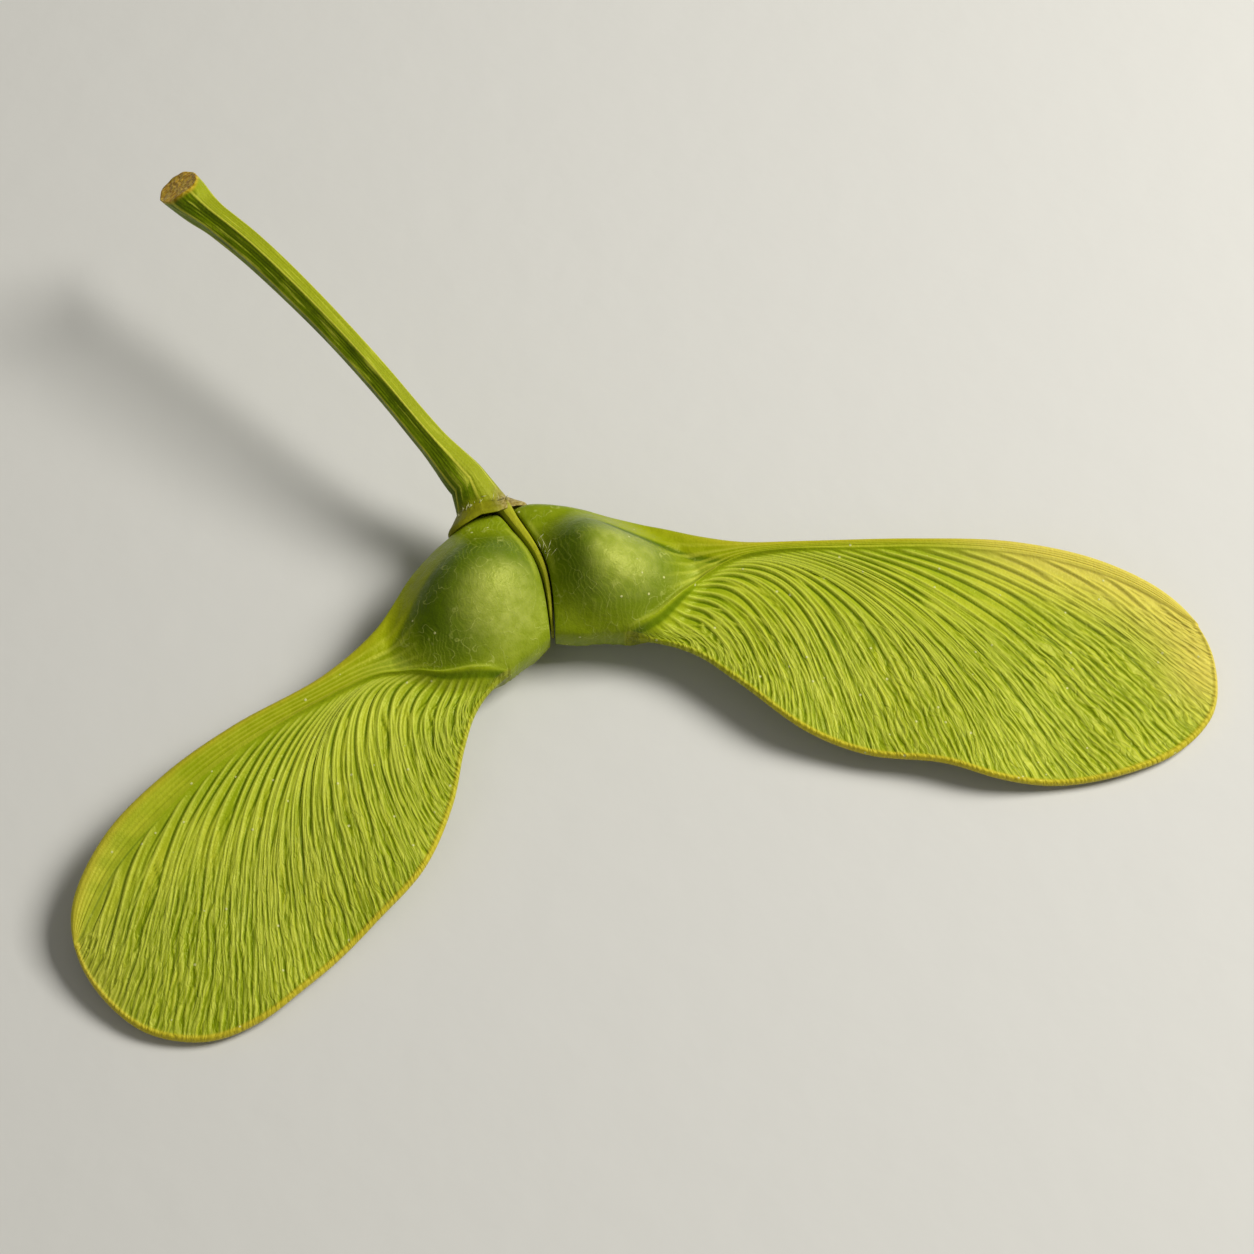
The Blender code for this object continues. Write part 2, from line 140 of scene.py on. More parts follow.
for name, lamp in LAMPS.items():
    light = bpy.data.lights.new(name, "AREA")
    light.energy = lamp["watts"]
    light.size = lamp["size"] * MM
    light.color = colour(lamp["tint"])[:3]
    holder = bpy.data.objects.new(name, light)
    holder.location = TARGET + Vector(lamp["from"]).normalized() * lamp["away"] * MM
    holder.rotation_euler = (TARGET - holder.location).to_track_quat("-Z", "Y").to_euler()
    bpy.context.scene.collection.objects.link(holder)
bpy.context.scene.view_settings.view_transform = "Standard"
print("lamps:", list(LAMPS))

# %% [markdown]
# ## The plan of a samara
# Seen from above, a samara is drawn by three lines: the leading edge from the seam over the nutlet
# to the wing tip, the trailing edge back to the seam, and the bundle, a cord of vessels that runs
# from the notch under the nutlet along the leading edge to the tip. The points are the ones that
# the solids are built on, so the fine pieces have the same shape. X counts away from the seam.

# %% The lines of both samaras
SEAM_TOP_Y, SEAM_END_Y = 0.6, -7.3
SEAM_HALF_AT_KEEL, SEAM_HALF_BELOW_KEEL = 0.48, 0.15
SEAM_BOW, SEAM_BOW_FADES = 0.75, 6.0
SHIFT = np.array([-2.209, -0.430])

RIGHT = {
    "name": "samara_right",
    "side": 1,
    "centre": (3.9, -4.8),
    "along": 4.9,
    "across": 3.7,
    "leading": (
        (SEAM_HALF_AT_KEEL, SEAM_TOP_Y), (1.4, 0.6), (3.2, -0.15), (5.6, -1.5), (8.0, -3.0),
        (10.0, -4.35), (12.0, -5.45), (15.2, -6.6), (21.2, -8.6), (26.4, -10.6),
        (30.6, -13.2), (33.3, -16.1), (34.3, -18.5),
    ),
    "trailing": (
        (34.3, -20.8), (33.1, -23.4), (30.4, -24.9), (27.0, -25.2), (23.3, -24.6),
        (20.2, -23.35), (17.4, -21.35), (13.8, -19.35), (10.9, -16.8), (8.6, -13.0),
        (7.3, -11.0), (5.7, -9.6), (3.0, -8.25), (1.2, -7.75), (SEAM_HALF_BELOW_KEEL, SEAM_END_Y),
    ),
    "bundle": (
        (5.6, -8.35), (7.6, -7.5), (9.4, -6.75), (11.2, -6.4), (13.6, -6.75),
        (18.5, -8.3), (23.0, -9.9), (27.5, -12.0), (31.4, -14.9),
    ),
    "pole_at": 3.9,
    "droop": 0.130,
    "yellowing": 1.0,
    # Where the painted highlight on the nutlet is centred, in plan.
    "painted_highlight": (4.9, -5.1),
    "groove": 1.0,
    "seed": 11,
}
LEFT = {
    "name": "samara_left",
    "side": -1,
    "centre": (3.7, -4.2),
    "along": 4.9,
    "across": 4.0,
    "leading": (
        (SEAM_HALF_AT_KEEL, SEAM_TOP_Y), (1.4, 0.75), (3.4, 0.2), (6.1, -1.15), (9.2, -3.65),
        (12.8, -5.35), (18.3, -6.55), (22.6, -7.95), (26.7, -10.15), (29.4, -13.1), (30.0, -15.4),
    ),
    "trailing": (
        (29.6, -18.0), (27.9, -20.9), (25.0, -22.5), (22.0, -22.5), (18.9, -21.45),
        (14.7, -19.55), (11.2, -17.7), (8.4, -14.5), (6.8, -11.8), (5.5, -10.0),
        (4.1, -8.9), (2.3, -8.2), (1.1, -7.8), (SEAM_HALF_BELOW_KEEL, SEAM_END_Y),
    ),
    "bundle": (
        (4.6, -8.05), (6.4, -7.6), (8.1, -6.75), (9.8, -6.35), (13.0, -6.8),
        (18.3, -8.0), (22.6, -9.7), (26.6, -12.0),
    ),
    "pole_at": 3.0,
    "droop": 0.146,
    "yellowing": 0.35,
    # Where the painted highlight on the nutlet is centred, in plan.
    "painted_highlight": (2.6, -5.5),
    "groove": 0.35,
    "seed": 7,
}


# %% Curves through points
CURVE_STEPS = 24


def ease(value, start, end):
    """0 before start, 1 after end, and a smooth step between them."""
    t = np.clip((value - start) / (end - start), 0.0, 1.0)
    return t * t * (3 - 2 * t)


def bump_at(value, middle, width):
    """1 at the middle, falling away to nothing within about two widths on either side."""
    return np.exp(-(((value - middle) / width) ** 2))


def unit(vectors):
    return vectors / np.maximum(np.linalg.norm(vectors, axis=-1, keepdims=True), 1e-9)


def smooth_curve(points):
    """A dense smooth curve through the points, with the same number of steps between each two."""
    p = np.array(points, float)
    steps = np.sqrt(np.linalg.norm(np.diff(p, axis=0), axis=1))
    slopes = np.diff(p, axis=0) / steps[:, None]
    before, after = steps[:-1, None], steps[1:, None]
    inner = (slopes[1:] * before + slopes[:-1] * after) / (before + after)
    tangents = np.vstack([slopes[:1], inner, slopes[-1:]])
    t = np.linspace(0.0, 1.0, CURVE_STEPS, endpoint=False)[:, None]
    spans = []
    for i, step in enumerate(steps):
        spans.append(
            (2 * t**3 - 3 * t**2 + 1) * p[i]
            + (t**3 - 2 * t**2 + t) * step * tangents[i]
            + (3 * t**2 - 2 * t**3) * p[i + 1]
            + (t**3 - t**2) * step * tangents[i + 1]
        )
    return np.vstack([*spans, p[-1:]])


def lengths_along(dense):
    """The distance along a dense curve at each of its points."""
    return np.concatenate([[0.0], np.cumsum(np.linalg.norm(np.diff(dense, axis=0), axis=1))])


def points_at(dense, distances):
    """The points of a dense curve at these distances along it."""
    along = lengths_along(dense)
    return np.stack([np.interp(distances, along, column) for column in dense.T], axis=-1)


# %% [markdown]
# The surface is laid over two grids that share the bundle line: the body, from the leading edge to
# the bundle, and the blade, from the bundle along each vein to the margin. The columns are packed
# close beside the bundle and the margin, where the surface turns fast, and each of the blade's
# hundred or so veins gets five rows, so that its round back shows.

# %% Grids over the plan
VEINS = 34
ROWS_A_VEIN = 16
NUTLET_ROWS = np.concatenate([[0.0, 0.008, 0.02, 0.045, 0.08], np.linspace(0.12, 1.0, 25)])
SHOULDER_AT = 6.2
VEIN_SWEEP, VEIN_LANDING = 0.40, 0.30
VEIN_LANDING_LEAN, VEIN_LEAN_TURNS = (0.55, -0.8), (0.65, 1.0)
VEIN_LEAVING = (math.radians(58.0), math.radians(14.0))
VEIN_LEAVING_SETTLES = 0.32
VEIN_EVEN, VEIN_POWER = 0.48, 8
EDGE_COLUMNS = np.array([0.0, 0.03, 0.09, 0.17, 0.26, 0.36, 0.46])
STRIP_COLUMNS = np.array([0.62, 0.80, 0.97, 1.12, 1.26, 1.38, 1.5, 1.63, 1.78, 1.95])
BUNDLE_COLUMNS = np.array([0.0, 0.08, 0.18, 0.32, 0.5])
BODY_MIDDLE, BLADE_MIDDLE = 11, 37
SHORT_BODY_ROW, SHORT_BLADE_ROW = 3.0, 2.2


def across_shares(width, near_start, near_end, middle, short):
    """Where the columns stand on rows of these widths: dense beside both ends, even between."""
    squeeze = np.clip(width / short, 0.0, 1.0)[:, None] / np.maximum(width, 1e-6)[:, None]
    start, end = near_start * squeeze, 1 - near_end[::-1] * squeeze
    even = np.linspace(0.0, 1.0, middle + 2)[None, 1:-1]
    between = start[:, -1:] + (end[:, :1] - start[:, -1:]) * even
    return np.hstack([start, between, end])


def turned_to_blade(directions, angles):
    """Directions turned by these angles from the leading edge's side towards the trailing side."""
    turn, lean = np.cos(angles), np.sin(angles)
    x, y = directions.T
    return np.stack([turn * x + lean * y, turn * y - lean * x], axis=1)


def blade_plan(origins, landings, v):
    """Veins leave the bundle forwards and bend round to the margin: one curve for each origin."""
    chord = np.linalg.norm(landings - origins, axis=1)[:, None]
    shares = np.linspace(0.0, 1.0, len(origins))
    settled = ease(shares, 0.0, VEIN_LEAVING_SETTLES)
    turn = VEIN_LEAVING[0] + (VEIN_LEAVING[1] - VEIN_LEAVING[0]) * settled
    leaving = turned_to_blade(unit(np.gradient(origins, axis=0)), turn)
    round_margin = unit(np.gradient(landings, axis=0))
    inward = turned_to_blade(round_margin, np.full(len(origins), -math.pi / 2))
    back, on = VEIN_LANDING_LEAN
    leans = back + (on - back) * ease(shares, *VEIN_LEAN_TURNS)
    lean = unit(inward - leans[:, None] * round_margin)
    first = (origins + VEIN_SWEEP * chord * leaving)[:, None]
    second = (landings + VEIN_LANDING * chord * lean)[:, None]
    v = v[..., None]
    return (
        (1 - v) ** 3 * origins[:, None]
        + 3 * (1 - v) ** 2 * v * first
        + 3 * (1 - v) * v**2 * second
        + v**3 * landings[:, None]
    )


def plan_of(samara):
    """The body's and the blade's grids in plan, where their columns stand, and the outline."""
    outline = smooth_curve(samara["leading"] + samara["trailing"])
    along = lengths_along(outline)
    tip = along[CURVE_STEPS * (len(samara["leading"]) - 1)]
    pole = along[-1] - samara["pole_at"]
    ends = points_at(outline, pole), points_at(outline, tip)
    bundle = smooth_curve((ends[0], *samara["bundle"], ends[1]))
    shares = np.linspace(0.0, 1.0, VEINS * ROWS_A_VEIN + 1)
    crowded = VEIN_EVEN * shares + (1 - VEIN_EVEN) * shares**VEIN_POWER
    past_shoulder = SHOULDER_AT + crowded[1:] * (tip - SHOULDER_AT)
    leading = points_at(outline, np.concatenate([NUTLET_ROWS * SHOULDER_AT, past_shoulder]))
    origins = points_at(bundle, crowded * lengths_along(bundle)[-1])
    landings = points_at(outline, pole + shares * (tip - pole))
    trailing = points_at(outline, along[-1] - NUTLET_ROWS[:-1] * samara["pole_at"])
    inner = np.vstack([trailing, origins])
    width = np.linalg.norm(inner - leading, axis=1)
    edge = np.concatenate([EDGE_COLUMNS, STRIP_COLUMNS])
    q = across_shares(width, edge, BUNDLE_COLUMNS, BODY_MIDDLE, SHORT_BODY_ROW)
    body = leading[:, None] * (1 - q[..., None]) + inner[:, None] * q[..., None]
    chord = np.linalg.norm(landings - origins, axis=1)
    v = across_shares(chord, BUNDLE_COLUMNS, EDGE_COLUMNS, BLADE_MIDDLE, SHORT_BLADE_ROW)
    return body, q, blade_plan(origins, landings, v), v, outline


for samara in (LEFT, RIGHT):
    body, q, blade, v, outline = plan_of(samara)
    print(samara["name"], "grids of", body.shape[:2], "and", blade.shape[:2], "points")

# %% [markdown]
# ## Veins
# 34 veins leave the bundle. Each sends off a branch to either side on its way, so that three times
# as many reach the margin, 0.4 mm apart, and slanting cross veins tie neighbours together. A vein
# is stored as a line over the blade's grid; its back is a rounded ridge a quarter of a millimetre
# wide, measured square to the vein, with a fine furrow along one side, where the tissue has sunk in.
# The furrow lies on the side away from the key lamp, and its dark colour is painted shade.

# %% The vein map
VEIN_HALF_WIDTH = 0.11
# The furrow lies this far to the side of each vein away from the key lamp; the material paints it dark as shade.
FURROW_OFFSET, FURROW_HALF_WIDTH = 0.17, 0.08
FORKS_BETWEEN = ((0.0, 0.30), (0.10, 0.75))
FORK_TAKES = 0.22
SWAYS = ((0.12, 7.0, 12.0), (0.08, 15.0, 24.0), (0.04, 28.0, 42.0))
SWAY_STARTS = (0.35, 0.8)
MAIN_SIZE, BRANCH_SIZE, BRANCH_WIDTH = (0.8, 1.0), (0.45, 0.8), 0.8
CROSS_VEINS = 420
CROSS_TAKES = (0.05, 0.17)
CROSS_SIZE, CROSS_WIDTH = 0.7, 0.7


def vein_lines(seed):
    """Each vein's place in shares along the margin, as a function of the share across, and its size."""
    chance = np.random.default_rng(seed)
    across = np.linspace(0.0, 1.0, 201)
    ends, lines = [], []
    for k in range(VEINS):
        sway = np.sin(across * chance.uniform(5, 11) + chance.uniform(0, 6))
        main = (k + 0.5 + 0.12 * sway * across * (1 - across) * 4) / VEINS
        early, late = chance.permutation(2)
        for branch in (-1, 0, 1):
            fork = chance.uniform(*FORKS_BETWEEN[early if branch < 0 else late])
            parted = ease(across, fork, fork + FORK_TAKES)
            own = 0 * across
            for swing, slow, quick in SWAYS:
                own += swing * np.sin(across * chance.uniform(slow, quick) + chance.uniform(0, 6))
            own *= parted * ease(across, *SWAY_STARTS)
            place = main + (branch * parted / 3 + own) / VEINS
            grown = chance.uniform(*MAIN_SIZE) * (1 - 0.35 * ease(across, 0.5, 1.0))
            if branch:
                grown = grown * (1 - parted) + parted * chance.uniform(*BRANCH_SIZE)
            ends.append(place)
            lines.append((place, grown, BRANCH_WIDTH if branch else 1.0))
    for _ in range(CROSS_VEINS):
        k = chance.integers(0, len(ends) - 1)
        start = chance.uniform(0.20, 0.92)
        stop = start + chance.uniform(*CROSS_TAKES)
        low, high = (k, k + 1) if chance.random() < 0.6 else (k + 1, k)
        step = np.clip((across - start) / (stop - start), 0.0, 1.0)
        place = ends[low] * (1 - step) + ends[high] * step
        size = CROSS_SIZE * ease(across, start - 0.02, start) * (1 - ease(across, stop, stop + 0.02))
        lines.append((place, size, CROSS_WIDTH))
    return across, lines


def vein_map(blade, v, samara):
    """How high the veins stand on the blade's grid, 1 on a vein's back, and the furrows beside them,
    on the side away from the key lamp, which the material also paints dark as shade.
    """
    share = np.linspace(0.0, 1.0, len(blade))[:, None]
    to_next = np.gradient(blade, axis=0) * (len(blade) - 1)
    down = unit(np.gradient(blade, axis=1))
    square = np.abs(to_next[..., 0] * down[..., 1] - to_next[..., 1] * down[..., 0])
    ridges, furrows_and_shade = np.zeros(v.shape), np.zeros(v.shape)
    across, lines = vein_lines(samara["seed"])
    for place, size, width in lines:
        away = (share - np.interp(v, across, place)) * square
        here = np.interp(v, across, size)
        ridges = np.maximum(ridges, here * bump_at(away, 0.0, VEIN_HALF_WIDTH * width))
        # The dark side line, away from the key lamp: a slight furrow, painted dark as shade.
        beside = bump_at(away, -samara["side"] * FURROW_OFFSET, FURROW_HALF_WIDTH)
        furrows_and_shade = np.maximum(furrows_and_shade, here * beside)
    return ridges, furrows_and_shade * (1 - ridges)


# %% [markdown]
# ## Thickness
# The surface is a middle sheet plus and minus half the thickness. The nutlet is a dome over the seed
# inside a thicker husk, with a shallow groove that sets the leading strip off; the leading edge is a
# stiff round rim with a few cords along it; the blade is a membrane with veins, and a bead runs
# round its margin. The middle sheet droops to the tip, where the wing touches the table, and is
# waved along the trailing edge.

# %% Heights
SEAM_HEIGHT = 3.6
SEAM_SHARE = 0.80
NUTLET_RISE, UNDERSIDE_SHARE = 2.5, 0.87
NUTLET_FULLNESS, NUTLET_ROUNDING, NUTLET_WING_SIDE = 2.3, 1.7, 1.15
HUSK_HALF, HUSK_FADES = 0.95, (2.5, 7.5)
HUSK_EDGE_SHARE, HUSK_EDGE = 0.30, 1.0
MEMBRANE_HALF = 0.17
VEIN_RISE, FURROW_DEPTH = 0.105, 0.045
BEAD_HALF, BEAD_WIDTH = 0.25, 0.36
LEADING_HALF, LEADING_ROUND, LEADING_AT_BUNDLE = 0.48, 0.55, 0.45
LEADING_STARTS = (5.0, 12.0)
CORDS = ((0.20, 0.035), (0.36, 0.045), (0.52, 0.04), (0.68, 0.045), (0.84, 0.05))
CORD_WIDTH = 0.045
GROOVE_AT, GROOVE_WIDTH, GROOVE_DEPTH = 1.42, 0.22, 0.13
GROOVE_STARTS, GROOVE_FADES = (3.6, 5.4), (9.5, 12.5)
SUTURE_RISE, SUTURE_WIDTH = 0.32, 0.19
SUTURE_STARTS, SUTURE_FADES = (3.0, 5.0), (12.0, 18.0)
BUNDLE_SETTLES = 1.1
RIM_LEAST = 0.05
STRIP_FADES = (19.0, 6.0)
WING_ANGLE = math.radians(-31.0)
ARCH_RISE, ARCH_STARTS, ARCH_SHORT_OF_SPAN = 0.5, 5.0, 7.0
WAVE_RISE, WAVE_LENGTH = 0.28, 12.0
WAVE_ACROSS, WAVE_STARTS, WAVE_STOPS = (5.0, -6.0), (8.0, 16.0), (12.0, 5.0)


def quarter_round(gap, width):
    """0 at no gap and 1 from the width on, rising on a quarter circle."""
    return np.sqrt(1 - (1 - np.clip(gap / width, 0.0, 1.0)) ** 2)


def along_wing(x, y):
    """The same offset counted along the wing and across it."""
    turn, lean = math.cos(WING_ANGLE), math.sin(WING_ANGLE)
    return turn * x + lean * y, turn * y - lean * x


def middle_height(x, y, samara):
    """The middle sheet: a plane that droops to the tip, arched along it and waved at its edge."""
    reach, across = along_wing(x, y - samara["centre"][1])
    span = np.hypot(*samara["trailing"][1])
    arched = np.clip((reach - ARCH_STARTS) / (span - ARCH_SHORT_OF_SPAN), 0.0, 1.0)
    before_tip = 1 - ease(reach, span - WAVE_STOPS[0], span - WAVE_STOPS[1])
    waved = ease(across, *WAVE_ACROSS) * ease(reach, *WAVE_STARTS) * before_tip
    wave = WAVE_RISE * waved * np.sin(2 * math.pi * reach / WAVE_LENGTH + samara["side"])
    return SEAM_HEIGHT + samara["droop"] * y + ARCH_RISE * np.sin(math.pi * arched) + wave


def seam_bow(x, y):
    """How far the seam, and what lies near it, bends over towards the right-hand nutlet."""
    down = np.clip((SEAM_TOP_Y - y) / (SEAM_TOP_Y - SEAM_END_Y), 0.0, 1.0)
    return SEAM_BOW * np.sin(math.pi * down) * (1 - ease(x, 0.0, SEAM_BOW_FADES))


def dome_of(x, y, samara):
    """The nutlet's swelling over the seed: 1 at its top and 0 outside its oval."""
    along, across = along_wing(x - samara["centre"][0], y - samara["centre"][1])
    along = np.where(along > 0, along / NUTLET_WING_SIDE, along)
    radius = np.hypot(along / samara["along"], across / samara["across"])
    return np.clip(1 - radius**NUTLET_FULLNESS, 0.0, 1.0) ** NUTLET_ROUNDING


def near_tip(x, y, samara):
    """0 on most of the wing and 1 at its tip, where the leading strip thins out into the blade."""
    reach, _ = along_wing(x, y)
    span = np.hypot(*samara["trailing"][1])
    return ease(reach, span - STRIP_FADES[0], span - STRIP_FADES[1])


def cords_on(body, q, width):
    """Where the cords of the leading strip run: 1 on a cord's back."""
    lines = np.zeros(q.shape)
    for place, height in CORDS:
        lines = np.maximum(lines, height / CORDS[1][1] * bump_at(q, place, CORD_WIDTH))
    return lines * np.clip(width / 1.0, 0.0, 1.0) * ease(body[..., 0], 4.5, 10.0)


def groove_on(body, q, width, samara):
    """Where the groove runs between the leading strip and the nutlet: 1 at its bottom."""
    x = body[..., 0]
    fade = samara["groove"] * ease(x, *GROOVE_STARTS) * (1 - ease(x, *GROOVE_FADES))
    return fade * bump_at(q * width, GROOVE_AT, GROOVE_WIDTH)


def body_half(body, q, outline, samara, rise):
    """Half the thickness of the nutlet, its husk and the leading edge."""
    x, y = body[..., 0], body[..., 1]
    width = np.linalg.norm(body[:, -1] - body[:, 0], axis=1)[:, None]
    from_edge = np.min([np.linalg.norm(body - p, axis=-1) for p in outline], axis=0)
    swell = HUSK_HALF * (1 - ease(x, *HUSK_FADES)) + rise * dome_of(x, y, samara)
    swell *= HUSK_EDGE_SHARE + (1 - HUSK_EDGE_SHARE) * quarter_round(from_edge, HUSK_EDGE)
    from_seam = x - np.minimum(x[:1], SEAM_HALF_AT_KEEL)
    swell *= SEAM_SHARE + (1 - SEAM_SHARE) * quarter_round(from_seam, HUSK_EDGE)
    in_wing = ease(x, *LEADING_STARTS)
    at_bundle = LEADING_AT_BUNDLE * (1 - near_tip(x, y, samara))
    rim = MEMBRANE_HALF + (LEADING_HALF - MEMBRANE_HALF) * in_wing * (1 - (1 - at_bundle) * q)
    rim *= 0.25 + 0.75 * quarter_round(q * width, LEADING_ROUND)
    lines = CORDS[1][1] * cords_on(body, q, width) - GROOVE_DEPTH * groove_on(body, q, width, samara)
    suture = SUTURE_RISE * ease(x, *SUTURE_STARTS) * (1 - 0.75 * ease(x, *SUTURE_FADES))
    suture *= bump_at((1 - q) * width, 0.0, SUTURE_WIDTH)
    return np.maximum(rim + swell + lines + suture, RIM_LEAST)


def blade_half(at_bundle, suture_at_bundle, blade, v, relief, from_margin):
    """Half the thickness of the blade: a membrane with veins, between the bundle and the bead."""
    chord = np.linalg.norm(blade[:, -1] - blade[:, 0], axis=1)[:, None]
    from_bundle = v * chord
    left = 1 - ease(from_bundle, 0.0, BUNDLE_SETTLES)
    half = MEMBRANE_HALF + (at_bundle - suture_at_bundle - MEMBRANE_HALF) * left
    half += suture_at_bundle * bump_at(from_bundle, 0.0, SUTURE_WIDTH)
    half += relief * ease(from_margin, 0.2, 0.6)
    bead = BEAD_HALF * quarter_round(np.minimum(from_margin, BEAD_WIDTH - from_margin), BEAD_WIDTH / 2)
    bead = np.where(from_margin < BEAD_WIDTH, bead, 0.0)
    inside = from_margin > BEAD_WIDTH / 2
    return np.maximum(np.where(inside, np.maximum(half, bead), bead), RIM_LEAST)


# %% [markdown]
# ## Building a samara
# A grid primitive is added with a point for each point of the plan, and its points are moved onto
# the plan. The body and the blade are joined and merged along the bundle. A Solidify modifier then
# gives the sheet its second face and its rim, and each face gets its own height. Masks for the
# material are stored on the points, and a UV map counts millimetres along and across the veins.


# %% Laying a grid
def laid_grid(name, points, map_uv, masks):
    """A grid primitive whose points are moved onto these, with a UV map and masks on its points."""
    rows, columns = points.shape[:2]
    bpy.ops.object.select_all(action="DESELECT")
    bpy.ops.mesh.primitive_grid_add(x_subdivisions=rows - 1, y_subdivisions=columns - 1, size=2.0)
    piece = bpy.context.object
    piece.name = piece.data.name = name
    mesh = piece.data
    start = np.empty(len(mesh.vertices) * 3)
    mesh.vertices.foreach_get("co", start)
    start = start.reshape(-1, 3)
    i = np.rint((start[:, 0] + 1) / 2 * (rows - 1)).astype(int)
    j = np.rint((start[:, 1] + 1) / 2 * (columns - 1)).astype(int)
    mesh.vertices.foreach_set("co", points[i, j].ravel())
    for mask, values in masks.items():
        mesh.attributes.new(mask, "FLOAT", "POINT").data.foreach_set("value", values[i, j].ravel())
    corner = np.empty(len(mesh.loops), int)
    mesh.loops.foreach_get("vertex_index", corner)
    mesh.uv_layers[0].name = "tissue_map"
    mesh.uv_layers[0].uv.foreach_set("vector", map_uv[i[corner], j[corner]].ravel())
    return piece


def select_only(*pieces):
    bpy.ops.object.select_all(action="DESELECT")
    for piece in pieces:
        piece.select_set(True)
    bpy.context.view_layer.objects.active = pieces[0]


def tidy_shell(piece, weld):
    """Merges points that meet, and turns every face outwards."""
    select_only(piece)
    bpy.ops.object.mode_set(mode="EDIT")
    bpy.ops.mesh.select_all(action="SELECT")
    bpy.ops.mesh.remove_doubles(threshold=weld)
    bpy.ops.mesh.normals_make_consistent(inside=False)
    bpy.ops.object.mode_set(mode="OBJECT")
    bpy.ops.object.shade_smooth()


# %% Masks and maps
NUTLET_FADES = (8.5, 13.5)
BLADE_ROOTS = (0.5, 3.0)
RIDGES_START, FURROWS_START = (0.0, 0.9), (0.1, 1.6)
STRIP_ENDS = (1.15, 1.6)
PALE_SEAM = (-5.8, -3.6), (-1.0, 0.0)
BEAD_PALES = (1.5, 15.0)
RIM_LINE = (0.15, 0.85)
FOOT_OF_BLADE = (0.4, 4.5)
OUTER_BLADE = (0.25, 0.7)
YELLOW_REACHES, YELLOW_STARTS = (-1.5, 6.0), (19.0, 29.0)
# How far the painted highlight on each nutlet spreads, in mm.
PAINTED_HIGHLIGHT_REACHES = 2.3
FLANGE_AT = ((4.0, 7.0), (11.0, 14.0))


def masks_of(plan, samara, husk, high, low):
    """Numbers from 0 to 1 for the material to read, and both faces' heights."""
    x, y = plan[..., 0], plan[..., 1]
    reach, _ = along_wing(x, y)
    edge = smooth_curve((*samara["leading"][-5:], samara["trailing"][0]))
    from_yellow = np.min([np.hypot(x - p[0], y - p[1]) for p in edge], axis=0)
    yellow = (1 - ease(from_yellow, *YELLOW_REACHES)) * ease(x, *YELLOW_STARTS)
    from_painted_highlight = np.hypot(x - samara["painted_highlight"][0], y - samara["painted_highlight"][1])
    return {
        "above": high,
        "below": low,
        "dome": dome_of(x, y, samara),
        # A pale patch painted where the key lamp's sheen falls on the nutlet: painted highlight.
        "painted_highlight": bump_at(from_painted_highlight, 0.0, PAINTED_HIGHLIGHT_REACHES),
        "nutlet": husk * (1 - ease(reach, *NUTLET_FADES)),
        "tip": yellow * samara["yellowing"],
    }


